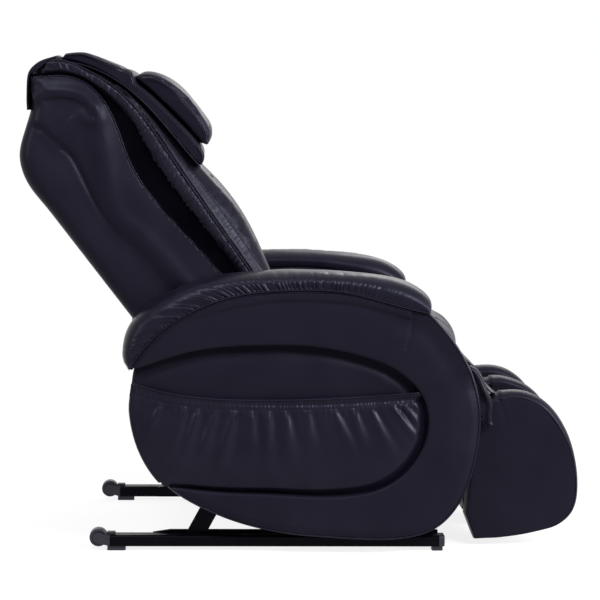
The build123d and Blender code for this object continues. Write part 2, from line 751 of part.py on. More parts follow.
for side, sign in SIDES.items():
    for level, end in (("lower", -1), ("upper", 1)):
        with BuildPart() as roller:
            high, low = reach(sign, roller_side, roller_side + roller_width)
            with BuildSketch(back_side.offset(low)):
                with Locations((carriage_home + end * roller_spread / 2, roller_forward)):
                    Circle(roller_radius)
            extrude(amount=high - low)
            fillet(roller.edges().filter_by(GeomType.CIRCLE), 6)
            with BuildSketch(back_side.offset(low)):
                with Locations((carriage_home + end * roller_spread / 2, roller_forward)):
                    Circle(roller_pin_radius + run_fit)
            extrude(amount=high - low, mode=Mode.SUBTRACT)
        finish(roller, f"{side}_{level}_massage_roller")

# ---------------------------------------------------------------- actuators
cross_pin_half = lever_gap + lever_thick + 3
recline_level = pivot_z - recline_arm
recline_tip = pivot_x - recline_arm * tan(radians(recline_swing))
recline_travel = 2 * recline_arm * tan(radians(recline_swing))
recline_nose = -45.0
recline_bore = rod_overlap + recline_travel + 20
with BuildPart() as recline_body:
    with BuildSketch(Plane.YZ.offset(recline_nose)):
        with Locations((lever_side, recline_level)):
            Circle(actuator_radius)
    extrude(amount=260)
    with BuildSketch(Plane.YZ.offset(upright_rear)):
        with Locations((lever_side, recline_level)):
            RectangleRounded(gearbox_width, 44, 6)
    extrude(amount=-53)
    with BuildSketch(Plane.XZ.offset(-(lever_side + gearbox_width / 2))):
        with Locations((upright_rear - 27, recline_level)):
            Circle(motor_radius)
    extrude(amount=-motor_length)
    with BuildSketch(Plane.YZ.offset(recline_nose)):
        with Locations((lever_side, recline_level)):
            Circle(rod_radius + run_fit)
    extrude(amount=recline_bore, mode=Mode.SUBTRACT)
finish(recline_body, "recline_actuator_body")

with BuildPart() as recline_rod:
    with BuildSketch(Plane.YZ.offset(recline_tip - rod_eye)):
        with Locations((lever_side, recline_level)):
            Circle(rod_radius)
    extrude(amount=recline_nose + rod_overlap - (recline_tip - rod_eye))
    with BuildSketch(side_plane(lever_side + cross_pin_half)):
        with Locations((recline_tip, recline_level)):
            Circle(rod_pin_radius)
    extrude(amount=2 * cross_pin_half)
finish(recline_rod, "recline_actuator_rod")

footrest_level = hinge_z - footrest_arm
footrest_tip = hinge_x - footrest_arm * tan(radians(footrest_swing))
footrest_travel = 2 * footrest_arm * tan(radians(footrest_swing))
footrest_tail = 40.0
footrest_nose = 300.0
footrest_bore = 200.0
footrest_box_low = footrest_level - 22
with BuildPart() as footrest_body:
    with BuildSketch(Plane.YZ.offset(footrest_tail)):
        with Locations((-lever_side, footrest_level)):
            Circle(actuator_radius)
    extrude(amount=footrest_nose - footrest_tail)
    with BuildSketch(side_plane(-lever_side + gearbox_width / 2)):
        with Locations(((middle_bar_x + footrest_tail) / 2, (rail_top - cross_bar + footrest_box_low) / 2)):
            Rectangle(footrest_tail - middle_bar_x, rail_top - cross_bar - footrest_box_low)
    extrude(amount=gearbox_width)
    with BuildSketch(side_plane(-lever_side - gearbox_width / 2)):
        with Locations((12, footrest_level)):
            Circle(motor_radius)
    extrude(amount=motor_length)
    with BuildSketch(Plane.YZ.offset(footrest_nose)):
        with Locations((-lever_side, footrest_level)):
            Circle(rod_radius + run_fit)
    extrude(amount=-footrest_bore, mode=Mode.SUBTRACT)
finish(footrest_body, "footrest_actuator_body")

with BuildPart() as footrest_rod:
    rod_end = footrest_nose - footrest_bore + 10
    with BuildSketch(Plane.YZ.offset(rod_end)):
        with Locations((-lever_side, footrest_level)):
            Circle(rod_radius)
    extrude(amount=footrest_tip + rod_eye - rod_end)
    with BuildSketch(side_plane(-lever_side + cross_pin_half)):
        with Locations((footrest_tip, footrest_level)):
            Circle(rod_pin_radius)
    extrude(amount=2 * cross_pin_half)
finish(footrest_rod, "footrest_actuator_rod")

# ---------------------------------------------------------------- control box, air pump, power inlet
box_length = 150.0
with BuildPart() as control_box:
    with BuildSketch(Plane.XY.offset(low_bar_level - 46)):
        with Locations((rear_bar_x + cross_bar + box_length / 2, 0)):
            RectangleRounded(box_length, 220, 8)
    extrude(amount=72)
    fillet(control_box.faces().sort_by(Axis.Z)[-1].edges(), 3)
finish(control_box, "control_box")

with BuildPart() as air_pump:
    with BuildSketch(Plane.XY.offset(rail_top)):
        with Locations((130, 0)):
            RectangleRounded(140, 76, 10)
    extrude(amount=-60)
finish(air_pump, "air_pump")

inlet_depth = 24.0
socket_depth = 17.0
inlet_face = rear_bar_x - inlet_depth
switch_y = 27.0
rocker_width = 12.0
switch_z = low_bar_level + cross_bar / 2
with BuildPart() as inlet:
    with BuildSketch(Plane.YZ.offset(rear_bar_x)):
        with Locations((0, switch_z)):
            RectangleRounded(100, 36, 5)
    extrude(amount=-inlet_depth)
    with BuildSketch(Plane.YZ.offset(inlet_face)):
        with Locations((switch_y, switch_z)):
            Rectangle(14, 17)
    extrude(amount=7, mode=Mode.SUBTRACT)
    with BuildSketch(Plane.YZ.offset(inlet_face)):
        with Locations((-18, switch_z)):
            RectangleRounded(28, 20, 4)
    extrude(amount=socket_depth, mode=Mode.SUBTRACT)
    with BuildSketch(Plane.YZ.offset(inlet_face + socket_depth)):
        with Locations((-25, switch_z - 2), (-11, switch_z - 2), (-18, switch_z + 3)):
            Rectangle(2, 5)
    extrude(amount=-13)
finish(inlet, "power_inlet")

with BuildPart() as rocker:
    with BuildSketch(side_plane(switch_y + rocker_width / 2)):
        with BuildLine():
            Polyline((inlet_face - 1.5, switch_z - 6.5), (inlet_face + 4, switch_z - 6),
                     (inlet_face + 4, switch_z + 6), (inlet_face - 1.5, switch_z + 6.5),
                     (inlet_face + 0.5, switch_z), close=True)
        make_face()
    extrude(amount=rocker_width)
    trunnion_half = rocker_width / 2 + 0.8
    with BuildSketch(side_plane(switch_y + trunnion_half)):
        with Locations((inlet_face + 3, switch_z)):
            Circle(1)
    extrude(amount=2 * trunnion_half)
finish(rocker, "power_switch")

# ---------------------------------------------------------------- head pad, pillow and rear flap
pad_front = ((842, 128), (827, 143), (780, 174), (738, 196), (682, 223), (613, 237), (539, 247), (486, 250),
             (452, 243), (441, 228), (441, 205))
with BuildPart() as head_pad:
    with BuildSketch(back_side.offset(-head_half)):
        with BuildLine():
            Spline(*pad_front)
            Polyline(pad_front[-1], (700, 140), (834, 107), pad_front[0])
        make_face()
    extrude(amount=2 * head_half)
    with BuildSketch(back_side.offset(-head_half)):
        with BuildLine():
            Spline(*[(u, w + seat_gap) for u, w in cushion_front])
            Polyline((cushion_front[-1][0], cushion_front[-1][1] + seat_gap), (-30, 50), (835, 50),
                     (cushion_front[0][0], cushion_front[0][1] + seat_gap))
        make_face()
    extrude(amount=2 * head_half, mode=Mode.SUBTRACT)
finish(head_pad, "head_pad")

pillow_line = ((707, 216), (690, 262), (640, 290), (590, 299), (526, 299), (476, 284), (465, 262), (480, 251))
with BuildPart() as pillow:
    with BuildSketch(back_side.offset(-pillow_half)):
        with BuildLine():
            Spline(*pillow_line)
            Spline((480, 251), (539, 248.2), (613, 238.2), (682, 224.2), (707, 216))
        make_face()
    extrude(amount=2 * pillow_half)
finish(pillow, "head_pillow")

with BuildPart() as flap:
    flap_outer = ((-572, 1140.5), (-597, 1132), (-622, 1118), (-636, 1104), (-641, 1082), (-642, 1034),
                  (-641, 1013))
    with BuildSketch(side_plane(flap_half)):
        with BuildLine():
            Spline(*flap_outer)
            Line(flap_outer[-1], (-636, 1013))
            Spline((-636, 1013), (-637, 1034), (-636, 1078), (-631, 1096.5), (-613.5, 1108.5), (-598.5, 1120.2),
                   (-585.5, 1128.2), (-572, 1129.9))
            Line((-572, 1129.9), flap_outer[0])
        make_face()
    extrude(amount=2 * flap_half)
finish(flap, "head_flap_rear")

# ---------------------------------------------------------------- footrest
well_half = footrest_half - calf_wall
with BuildPart() as footrest_frame:
    tube_half = rail_inner - 2
    with BuildSketch(side_plane(tube_half)):
        with Locations((hinge_x, hinge_z)):
            Circle(hinge_tube_radius)
    extrude(amount=2 * tube_half)
    board_half = well_half - 0.5
    with BuildSketch(side_plane(board_half)):
        with BuildLine():
            Polyline((398, 384), (408, 384), (420, 318), (397, 75), (389, 75), (411, 318), close=True)
        make_face()
    extrude(amount=2 * board_half)
    for plate_high in (-lever_side - lever_gap, -lever_side + lever_gap + lever_thick):
        with BuildSketch(side_plane(plate_high)):
            draw_lever((hinge_x, hinge_z), -90 - footrest_swing, footrest_arm, footrest_swing, footrest_play,
                       (hinge_x, hinge_z), hinge_tube_radius + 4)
        extrude(amount=lever_thick)
    with BuildSketch(side_plane(tube_half)):
        with Locations((hinge_x, hinge_z)):
            Circle(hinge_rod_radius + run_fit)
    extrude(amount=2 * tube_half, mode=Mode.SUBTRACT)
finish(footrest_frame, "footrest_frame")

calf_face = ((470, 40), (525, 110), (505, 240), (476, 346))
with BuildPart() as calf_back:
    with BuildSketch(side_plane(board_half)):
        with BuildLine():
            Polyline((440, 350), (421, 332), (420 + seat_gap, 318), (397 + seat_gap, 75))
            Spline((397 + seat_gap, 75), (420, 48), calf_face[0])
            Spline(*calf_face)
            Line(calf_face[-1], (440, 350))
        make_face()
    extrude(amount=2 * board_half)
finish(calf_back, "footrest_back_pad")

calf_heel = ((389, 72), (412, 15))
calf_front = ((526, 365), (561, 351), (590, 329), (616, 296), (638, 251), (653, 195), (659, 144), (657, 110),
              (645, 76), (622, 53), (574, 37), (510, 24))
for side, sign in SIDES.items():
    with BuildPart() as calf_side:
        high, low = reach(sign, well_half, footrest_half)
        with BuildSketch(side_plane(high)):
            with BuildLine():
                Spline((411, 318), (430, 345), (455, 360), (488, 367), *calf_front, (447, 17), calf_heel[1])
                Polyline(calf_heel[1], calf_heel[0], (411, 318))
            make_face()
        extrude(amount=high - low)
    finish(calf_side, f"{side}_calf_wall")

with BuildPart() as ridge:
    with BuildSketch(side_plane(calf_ridge / 2)):
        with BuildLine():
            Spline((442, 351), (458, 362), (488, 371), *calf_front, (474, 22))
            Line((474, 22), (calf_face[0][0] + seat_gap, calf_face[0][1]))
            Spline(*[(x + seat_gap, z) for x, z in calf_face])
            Polyline((calf_face[-1][0] + seat_gap, calf_face[-1][1]),
                     (calf_face[-1][0] + seat_gap, calf_face[-1][1] + seat_gap), (442, 351))
        make_face()
    extrude(amount=calf_ridge)
finish(ridge, "calf_center_ridge")
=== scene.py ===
"""Looks of a reclining massage chair, modelled in leather round its CAD frame.

Axes as in the frame: +X the way the sitter faces, +Y to the sitter's left, +Z up, in metres. The side-view
outlines come from the flat faces of the CAD nodes. Seams, creases and folds are curves given point by point.
"""

import json
from math import cos, pi, radians, sin

import bmesh
import bpy
import numpy as np
from mathutils import Matrix, Vector
from mathutils.geometry import delaunay_2d_cdt
from mathutils.kdtree import KDTree


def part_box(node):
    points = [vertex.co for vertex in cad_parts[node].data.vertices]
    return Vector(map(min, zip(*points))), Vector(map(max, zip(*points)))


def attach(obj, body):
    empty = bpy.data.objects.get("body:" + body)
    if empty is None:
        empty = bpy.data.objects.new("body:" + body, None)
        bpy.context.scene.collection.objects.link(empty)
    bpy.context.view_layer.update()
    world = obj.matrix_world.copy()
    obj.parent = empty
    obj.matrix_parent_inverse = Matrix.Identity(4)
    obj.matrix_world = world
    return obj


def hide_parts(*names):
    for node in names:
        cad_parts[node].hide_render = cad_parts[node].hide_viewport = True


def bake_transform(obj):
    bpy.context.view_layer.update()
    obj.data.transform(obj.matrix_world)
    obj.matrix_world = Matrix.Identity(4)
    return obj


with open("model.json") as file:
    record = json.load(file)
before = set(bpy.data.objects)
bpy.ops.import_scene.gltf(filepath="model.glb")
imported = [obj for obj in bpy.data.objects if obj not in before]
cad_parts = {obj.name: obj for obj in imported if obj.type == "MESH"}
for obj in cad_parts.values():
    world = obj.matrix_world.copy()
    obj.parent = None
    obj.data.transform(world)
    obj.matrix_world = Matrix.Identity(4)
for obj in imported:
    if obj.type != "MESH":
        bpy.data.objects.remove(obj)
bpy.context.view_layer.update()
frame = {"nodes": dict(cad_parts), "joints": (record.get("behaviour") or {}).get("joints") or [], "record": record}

MM = 0.001
BACK_LEAN = radians(37.8)       # lean of the backrest from upright
GRID = 5.0 * MM                 # spacing of the points on leather
PIPE = 1.7 * MM                 # radius of piping
INFLATE_FRAMES = 20             # of a cushion's cloth simulation
SAME_PLACE = 2e-5               # points closer than this are one point
CHAIR_MIDDLE = (0, 0, 0.55)     # where the lamps aim
joints = {joint["name"]: joint for joint in frame["joints"]}
pivot = np.array(joints["recline"]["pos_m"])[[0, 2]]  # in side view
UP = np.array((-sin(BACK_LEAN), cos(BACK_LEAN)))      # along the back, in side view
OUT = np.array((cos(BACK_LEAN), sin(BACK_LEAN)))      # out of the back's front face


# ---------------------------------------------------------------- side-view curves
def mm(*points):
    """Side-view points given in millimetres, as an array in metres."""
    return np.array(points, float) * MM


def back_to_world(points):
    """Side-view points from back coordinates (u up the back, w out of it)."""
    points = np.asarray(points, float)
    return pivot + points[:, :1] * UP + points[:, 1:] * OUT


def world_to_back(points):
    """Back coordinates (u, w) of side-view points."""
    offset = points - pivot
    return np.stack((offset @ UP, offset @ OUT), axis=-1)


def up_the_back(points):
    """Side-view points in their order up the back."""
    return points[np.argsort(world_to_back(points)[:, 0])]


def length_along(points):
    """Length from a polyline's start to each of its points."""
    return np.concatenate(((0.0,), np.cumsum(np.linalg.norm(np.diff(points, axis=0), axis=1))))


def resample(points, spacing, closed=False):
    """Points at an even spacing along a polyline."""
    if closed:
        points = np.vstack((points, points[:1]))
    length = length_along(points)
    count = max(2, int(round(length[-1] / spacing)))
    at = np.linspace(0, length[-1], count + 1)
    if closed:
        at = at[:-1]
    return np.stack([np.interp(at, length, points[:, k]) for k in range(points.shape[1])], axis=1)


def smooth_curve(points, spacing=3 * MM):
    """Catmull-Rom curve through the points, sampled at an even spacing."""
    padded = np.vstack((2 * points[:1] - points[1:2], points, 2 * points[-1:] - points[-2:-1]))
    steps = np.linspace(0, 1, 24, endpoint=False)[:, None]
    pieces = []
    for a, b, c, d in zip(padded[:-3], padded[1:-2], padded[2:-1], padded[3:]):
        pieces.append(0.5 * (2 * b + (c - a) * steps + (2 * a - 5 * b + 4 * c - d) * steps ** 2
                             + (3 * b - a - 3 * c + d) * steps ** 3))
    return resample(np.vstack(pieces + [points[-1:]]), spacing)


def nearest(points, curve, closed=False):
    """Distance to a finely sampled curve, length along it and side of it (+1 on its left), for each point."""
    tree = KDTree(len(curve))
    for number, (x, z) in enumerate(curve):
        tree.insert((x, z, 0), number)
    tree.balance()
    found = np.array([tree.find((x, z, 0))[1] for x, z in points], int)
    ends = np.vstack((curve, curve[:1])) if closed else curve
    step = np.diff(ends, axis=0)
    squared = (step ** 2).sum(1) + 1e-18
    length = np.concatenate(((0.0,), np.cumsum(np.sqrt(squared))))
    best = np.full(len(points), np.inf)
    along, side = np.zeros(len(points)), np.zeros(len(points))
    for neighbour in (found - 1, found):
        k = neighbour % len(step) if closed else np.clip(neighbour, 0, len(step) - 1)
        offset = points - curve[k]
        t = np.clip((offset * step[k]).sum(1) / squared[k], 0, 1)
        distance = np.linalg.norm(offset - t[:, None] * step[k], axis=1)
        closer = distance < best
        best[closer] = distance[closer]
        along[closer] = (length[k] + t * np.sqrt(squared[k]))[closer]
        cross = step[k, 0] * offset[:, 1] - step[k, 1] * offset[:, 0]
        side[closer] = np.sign(cross)[closer]
    return best, along, side


def inside(points, loop):
    """True for the points inside a closed outline."""
    result = np.zeros(len(points), bool)
    for a, b in zip(loop, np.roll(loop, -1, axis=0)):
        crosses = (a[1] > points[:, 1]) != (b[1] > points[:, 1])
        level = b[1] - a[1] if b[1] != a[1] else 1e-12
        result ^= crosses & (points[:, 0] < (b[0] - a[0]) * (points[:, 1] - a[1]) / level + a[0])
    return result


def signed_area(loop):
    """Twice the area of a closed outline, above 0 where it runs counter-clockwise."""
    return (loop[:, 0] * np.roll(loop[:, 1], -1) - np.roll(loop[:, 0], -1) * loop[:, 1]).sum()


def normals_of(loop):
    """Outward unit normals of a closed outline."""
    tangent = np.roll(loop, -1, axis=0) - np.roll(loop, 1, axis=0)
    normal = np.stack((tangent[:, 1], -tangent[:, 0]), axis=1)
    normal /= np.linalg.norm(normal, axis=1)[:, None] + 1e-12
    return normal if signed_area(loop) > 0 else -normal


def node_loop(node, sign, spacing=GRID):
    """Outline of a CAD node's flat face at its highest (+1) or lowest (-1) y, counter-clockwise."""
    mesh = frame["nodes"][node].data
    points = places(mesh)
    level = points[:, 1].max() if sign > 0 else points[:, 1].min()
    on_face = np.abs(points[:, 1] - level) < SAME_PLACE
    keys = [tuple(k) for k in np.round(points[:, ::2] * 1e5).astype(int)]
    uses = {}
    for polygon in mesh.polygons:
        corners = list(polygon.vertices)
        if not on_face[corners].all():
            continue
        for a, b in zip(corners, corners[1:] + corners[:1]):
            edge = (keys[a], keys[b])
            if edge[::-1] in uses:
                del uses[edge[::-1]]
            else:
                uses[edge] = True
    following = {a: b for a, b in uses}
    loops = []
    while following:
        first = here = next(iter(following))
        loop = []
        while here in following:
            loop.append(here)
            here = following.pop(here)
            if here == first:
                break
        loops.append(np.array(loop, float) * 1e-5)
    loop = max(loops, key=lambda found: np.ptp(found, axis=0).sum())
    if signed_area(loop) < 0:
        loop = loop[::-1]
    return resample(loop, spacing, closed=True)


def beside(curve, *distances):
    """Open side-view curves beside a curve, at these distances to its left."""
    tangent = np.gradient(curve, axis=0)
    normal = np.stack((-tangent[:, 1], tangent[:, 0]), axis=1) / np.linalg.norm(tangent, axis=1)[:, None]
    return [curve + normal * distance for distance in distances]


def marked_run(loop, keep):
    """The marked points of a closed outline, from where their run starts."""
    start = int(np.flatnonzero(keep & ~np.roll(keep, 1))[0])
    return np.roll(loop, -start, axis=0)[:int(keep.sum())]


def smoothed(share, count):
    """Values round a closed outline, each averaged with its neighbours over count points."""
    kernel = np.hanning(count)
    kernel /= kernel.sum()
    half = count // 2
    return np.convolve(np.concatenate((share[-half:], share, share[:half])), kernel, "valid")


def inset(loop, distance, weight=None):
    """The closed outline moved inwards; weight gives each point's share from its outward normal."""
    normal = normals_of(loop)
    share = 1.0 if weight is None else weight(loop, normal)[:, None]
    return loop - normal * distance * share


# ---------------------------------------------------------------- meshes
def places(mesh):
    """The mesh's points as an array."""
    return np.array([vertex.co for vertex in mesh.vertices])


def in_scene(name, data):
    """A new object in the scene."""
    holder = bpy.data.objects.new(name, data)
    bpy.context.scene.collection.objects.link(holder)
    return holder


def new_object(name, points, faces):
    """A mesh object whose doubled points are merged and whose faces look outwards."""
    mesh = bpy.data.meshes.new(name)
    mesh.from_pydata([tuple(p) for p in points], [], [tuple(f) for f in faces])
    bm = bmesh.new()
    bm.from_mesh(mesh)
    bmesh.ops.remove_doubles(bm, verts=bm.verts, dist=SAME_PLACE)
    bmesh.ops.dissolve_degenerate(bm, dist=1e-6, edges=bm.edges)
    bmesh.ops.recalc_face_normals(bm, faces=bm.faces)
    bm.to_mesh(mesh)
    bm.free()
    mesh.shade_smooth()
    return in_scene(name, mesh)


def fill(loop, spacing, extra=()):
    """Points and triangles that fill a closed side-view outline, with extra points for fine detail."""
    low, high = loop.min(0), loop.max(0)
    xs = np.arange(low[0], high[0], spacing)
    zs = np.arange(low[1], high[1], spacing * 0.866)
    grid = np.array([(x + (k % 2) * spacing / 2, z) for k, z in enumerate(zs) for x in xs])
    grid = grid[inside(grid, loop)]
    grid = grid[nearest(grid, loop, closed=True)[0] > spacing * 0.55]
    points = [loop]
    for more in extra:
        _, first = np.unique(np.floor(more / (spacing * 0.22)).astype(int), axis=0, return_index=True)
        more = more[np.sort(first)]
        more = more[inside(more, loop)]
        more = more[nearest(more, loop, closed=True)[0] > spacing * 0.2]
        points.append(more)
    if len(points) > 1:
        close = np.vstack(points[1:])
        cells = {tuple(c) for c in np.floor(close / (spacing * 0.8)).astype(int)}
        where = np.floor(grid / (spacing * 0.8)).astype(int)
        grid = grid[[tuple(c) not in cells for c in where]]
    points.append(grid)
    points = np.vstack(points)
    count = len(loop)
    edges = [(k, (k + 1) % count) for k in range(count)]
    found = delaunay_2d_cdt([Vector(p) for p in points], edges, [], 1, 1e-7)
    return np.array([tuple(v) for v in found[0]]), [tuple(f) for f in found[2]]


def side_points(points, y):
    """Side-view points placed at y, one value or one for each."""
    level = np.broadcast_to(y, (len(points),))
    return np.stack((points[:, 0], level, points[:, 1]), axis=1)


def strip(rings):
    """Faces between closed rings of the same length, numbered one after another."""
    count = len(rings[0])
    faces = []
    for row in range(len(rings) - 1):
        for k in range(count):
            a, b = row * count + k, row * count + (k + 1) % count
            faces.append((a, b, b + count, a + count))
    return faces


def grid_faces(rows, columns):
    """Faces between neighbouring rows of points, numbered row after row."""
    corners = [row * columns + k for row in range(rows - 1) for k in range(columns - 1)]
    return [(a, a + 1, a + columns + 1, a + columns) for a in corners]


def gather_parts(parts):
    """One point list and one face list from several."""
    points, faces, base = [], [], 0
    for part_points, part_faces in parts:
        points.append(part_points)
        faces.extend(tuple(base + k for k in face) for face in part_faces)
        base += len(part_points)
    return np.vstack(points), faces


def bulging_band(loop, seam_in, start, end):
    """Rings from a face's edge at y start to the back's edge at y end, fullest half way."""
    rings = []
    for t in np.linspace(0, 1, 9):
        ring = inset(loop, seam_in * (1 - sin(pi * t) ** 0.6))
        rings.append(side_points(ring, start + (end - start) * t))
    return np.vstack(rings), strip(rings)


def slab(name, loop, face_y, back_y, height, seam_in, extra=(), spacing=GRID):
    """Closed upholstered board: a relief face at face_y, a bulging band round it and a flat back."""
    out = 1 if face_y > back_y else -1
    front = inset(loop, seam_in)
    points, faces = fill(front, spacing, extra)
    face = (side_points(points, face_y + out * height(points)), faces)
    band = bulging_band(loop, seam_in, face_y + out * height(front), back_y)
    points, faces = fill(front, spacing * 4)
    back = (side_points(points, back_y), faces)
    return new_object(name, *gather_parts([face, band, back]))


def loft(name, loop, low, high, radius, weight=None, spacing=GRID * 1.2, cap=0.0, run=None):
    """Closed cushion across y from an outline. Its edges fall by radius over a width of run, by weight."""
    run = radius if run is None else min(run, (high - low) / 2.05)
    turns = max(8, int(1.5 * run / spacing))
    stations = [(low + run * (1 - cos(a)), radius * (1 - sin(a))) for a in np.linspace(0, pi / 2, turns)[:-1]]
    count = max(2, int((high - low - 2 * run) / spacing))
    stations += [(y, 0.0) for y in np.linspace(low + run, high - run, count + 1)]
    stations += [(low + high - y, depth) for y, depth in reversed(stations[:turns - 1])]
    rings = [side_points(inset(loop, depth, weight), y) for y, depth in stations]
    parts = [(np.vstack(rings), strip(rings))]
    cap_loop = inset(loop, radius, weight)
    points, faces = fill(cap_loop, spacing * 1.5)
    swell = cap * np.clip(nearest(points, cap_loop, closed=True)[0] / (radius * 2), 0, 1) ** 0.5
    parts.append((side_points(points, low - swell), faces))
    parts.append((side_points(points, high + swell), faces))
    return new_object(name, *gather_parts(parts))


def inflate(piece, cap, voxel=5 * MM):
    """Plumps a closed cushion by a cloth simulation in which no point moves further than cap."""
    remesh = piece.modifiers.new("even", "REMESH")
    remesh.mode = "VOXEL"
    remesh.voxel_size = voxel
    bake(piece)
    push(piece, lambda points, normals: np.full(len(points), -0.7 * cap))
    before = places(piece.data)
    cloth = piece.modifiers.new("cloth", "CLOTH")
    cloth.settings.use_pressure = True
    cloth.settings.uniform_pressure_force = 4.0
    cloth.settings.quality = 5
    cloth.settings.effector_weights.gravity = 0.0
    cloth.point_cache.frame_start = 1
    cloth.point_cache.frame_end = INFLATE_FRAMES
    for number in range(1, INFLATE_FRAMES + 1):
        bpy.context.scene.frame_set(number)
    bake(piece)
    bpy.context.scene.frame_set(1)
    moved = places(piece.data) - before
    length = np.linalg.norm(moved, axis=1)[:, None] + 1e-9
    after = before + moved * np.minimum(1, cap / length)
    piece.data.vertices.foreach_set("co", after.ravel())
    smooth = piece.modifiers.new("smooth", "SUBSURF")
    smooth.levels = 1
    smooth.render_levels = 1
    bake(piece)


def push(piece, amount):
    """Moves each point along its normal by amount(points, normals)."""
    mesh = piece.data
    points = places(mesh)
    normals = np.array([vertex.normal for vertex in mesh.vertices])
    points = points + normals * amount(points, normals)[:, None]
    mesh.vertices.foreach_set("co", points.ravel())
    mesh.update()


def tube(name, path, radius):
    """Round tube with flat ends along a 3D path."""
    sides = 8
    tangent = np.gradient(path, axis=0)
    tangent /= np.linalg.norm(tangent, axis=1)[:, None]
    across = np.cross(tangent, np.array((0.0, 1.0, 0.0)))
    weak = np.linalg.norm(across, axis=1) < 0.1
    across[weak] = np.cross(tangent[weak], np.array((1.0, 0.0, 0.0)))
    across /= np.linalg.norm(across, axis=1)[:, None]
    other = np.cross(tangent, across)
    angles = np.linspace(0, 2 * pi, sides, endpoint=False)
    rings = [p + radius * (np.cos(angles)[:, None] * a + np.sin(angles)[:, None] * b)
             for p, a, b in zip(path, across, other)]
    points, faces = np.vstack(rings), strip(rings)
    last = len(points) - sides
    faces.append(tuple(range(sides)))
    faces.append(tuple(range(last, last + sides)))
    return new_object(name, points, faces)


def bake(piece):
    """Applies the piece's modifiers."""
    evaluated = piece.evaluated_get(bpy.context.evaluated_depsgraph_get())
    mesh = bpy.data.meshes.new_from_object(evaluated)
    piece.modifiers.clear()
    piece.data = mesh
    mesh.shade_smooth()


def waves(points, length, seed):
    """Smooth uneven ripples between about -1 and 1, with the given wavelength."""
    count = 14
    picks = np.random.default_rng(seed)
    direction = picks.normal(size=(count, points.shape[1]))
    direction /= np.linalg.norm(direction, axis=1)[:, None]
    size = 2 * pi / length * picks.uniform(0.6, 1.5, count)
    phase = picks.uniform(0, 2 * pi, count)
    return np.sin(points @ (direction * size[:, None]).T + phase).sum(1) / count ** 0.5


def groove(distance, width):
    """1 on a line, falling smoothly to 0 beside it."""
    return np.exp(-(distance / width) ** 2)


def ramp(value, start, end):
    """0 before start, 1 after end and smooth between."""
    t = np.clip((value - start) / (end - start), 0, 1)
    return t * t * (3 - 2 * t)


def pleats(along, pitch, seed):
    """Uneven sharp-topped gathers along a seam, between 0 and 1."""
    picks = np.random.default_rng(seed)
    shift = np.zeros_like(along)
    for length in (5.3, 9.1, 17.0):
        shift = shift + 0.28 * np.sin(2 * pi * along / (pitch * length) + picks.uniform(0, 6))
    wave = np.abs(np.sin(pi * (along / pitch + shift)))
    strength = 0.65 + 0.35 * np.sin(2 * pi * along / (pitch * 3.7) + picks.uniform(0, 6))
    return wave * strength


# ---------------------------------------------------------------- materials
def wire(source, socket):
    """Links two sockets of one node tree."""
    socket.id_data.links.new(source, socket)


def dial(node, values):
    """Sets a shader node's inputs by name."""
    for name, value in values.items():
        node.inputs[name].default_value = value


def shader_nodes(name):
    """A new node material: its node tree, its shader and a noise maker in object space."""
    material = bpy.data.materials.new(name)
    material.use_nodes = True
    tree = material.node_tree
    shader = tree.nodes["Principled BSDF"]
    place = tree.nodes.new("ShaderNodeTexCoord")

    def noise(scale, detail=3.0, kind="ShaderNodeTexNoise"):
        texture = tree.nodes.new(kind)
        texture.inputs["Scale"].default_value = scale
        if "Detail" in texture.inputs:
            texture.inputs["Detail"].default_value = detail
        wire(place.outputs["Object"], texture.inputs["Vector"])
        return texture.outputs["Distance" if kind == "ShaderNodeTexVoronoi" else 0]

    return material, tree, shader, noise


def spread(tree, source, low, high, start=0.3, end=0.7):
    """A value or colour that follows a texture between two levels."""
    if np.ndim(low) == 0:
        node = tree.nodes.new("ShaderNodeMapRange")
        dial(node, {"From Min": start, "From Max": end, "To Min": low, "To Max": high})
        wire(source, node.inputs["Value"])
        return node.outputs["Result"]
    node = tree.nodes.new("ShaderNodeValToRGB")
    node.color_ramp.elements[0].position = start
    node.color_ramp.elements[0].color = (*low, 1)
    node.color_ramp.elements[1].position = end
    node.color_ramp.elements[1].color = (*high, 1)
    wire(source, node.inputs["Fac"])
    return node.outputs["Color"]


def bump(tree, shader, layers):
    """Chains bump nodes, given as (texture, height in metres, strength)."""
    before = None
    for source, height, strength in layers:
        node = tree.nodes.new("ShaderNodeBump")
        dial(node, {"Distance": height, "Strength": strength})
        wire(source, node.inputs["Height"])
        if before is not None:
            wire(before, node.inputs["Normal"])
        before = node.outputs["Normal"]
    wire(before, shader.inputs["Normal"])


def leather(name, colour, worn, rough=(0.32, 0.42), grain=0.12, shine=0.09):
    """Dyed leather: mottled colour, pebbled grain with fine creases and an uneven sheen."""
    material, tree, shader, noise = shader_nodes(name)
    wire(spread(tree, noise(9.0), colour, worn), shader.inputs["Base Color"])
    wire(spread(tree, noise(16.0), *rough), shader.inputs["Roughness"])
    bump(tree, shader, [(noise(520.0, kind="ShaderNodeTexVoronoi"), 0.00015, grain),
                        (noise(60.0, 5.0), 0.0006, grain)])
    dial(shader, {"Specular IOR Level": shine, "Specular Tint": (0.76, 0.74, 1.0, 1)})
    return material


def metal(name, colour, worn, rough):
    """Worked or plated metal with fine marks."""
    material, tree, shader, noise = shader_nodes(name)
    wire(spread(tree, noise(22.0, 6.0), colour, worn), shader.inputs["Base Color"])
    wire(spread(tree, noise(60.0), *rough), shader.inputs["Roughness"])
    bump(tree, shader, [(noise(700.0), 0.0001, 0.15)])
    dial(shader, {"Metallic": 1.0})
    return material


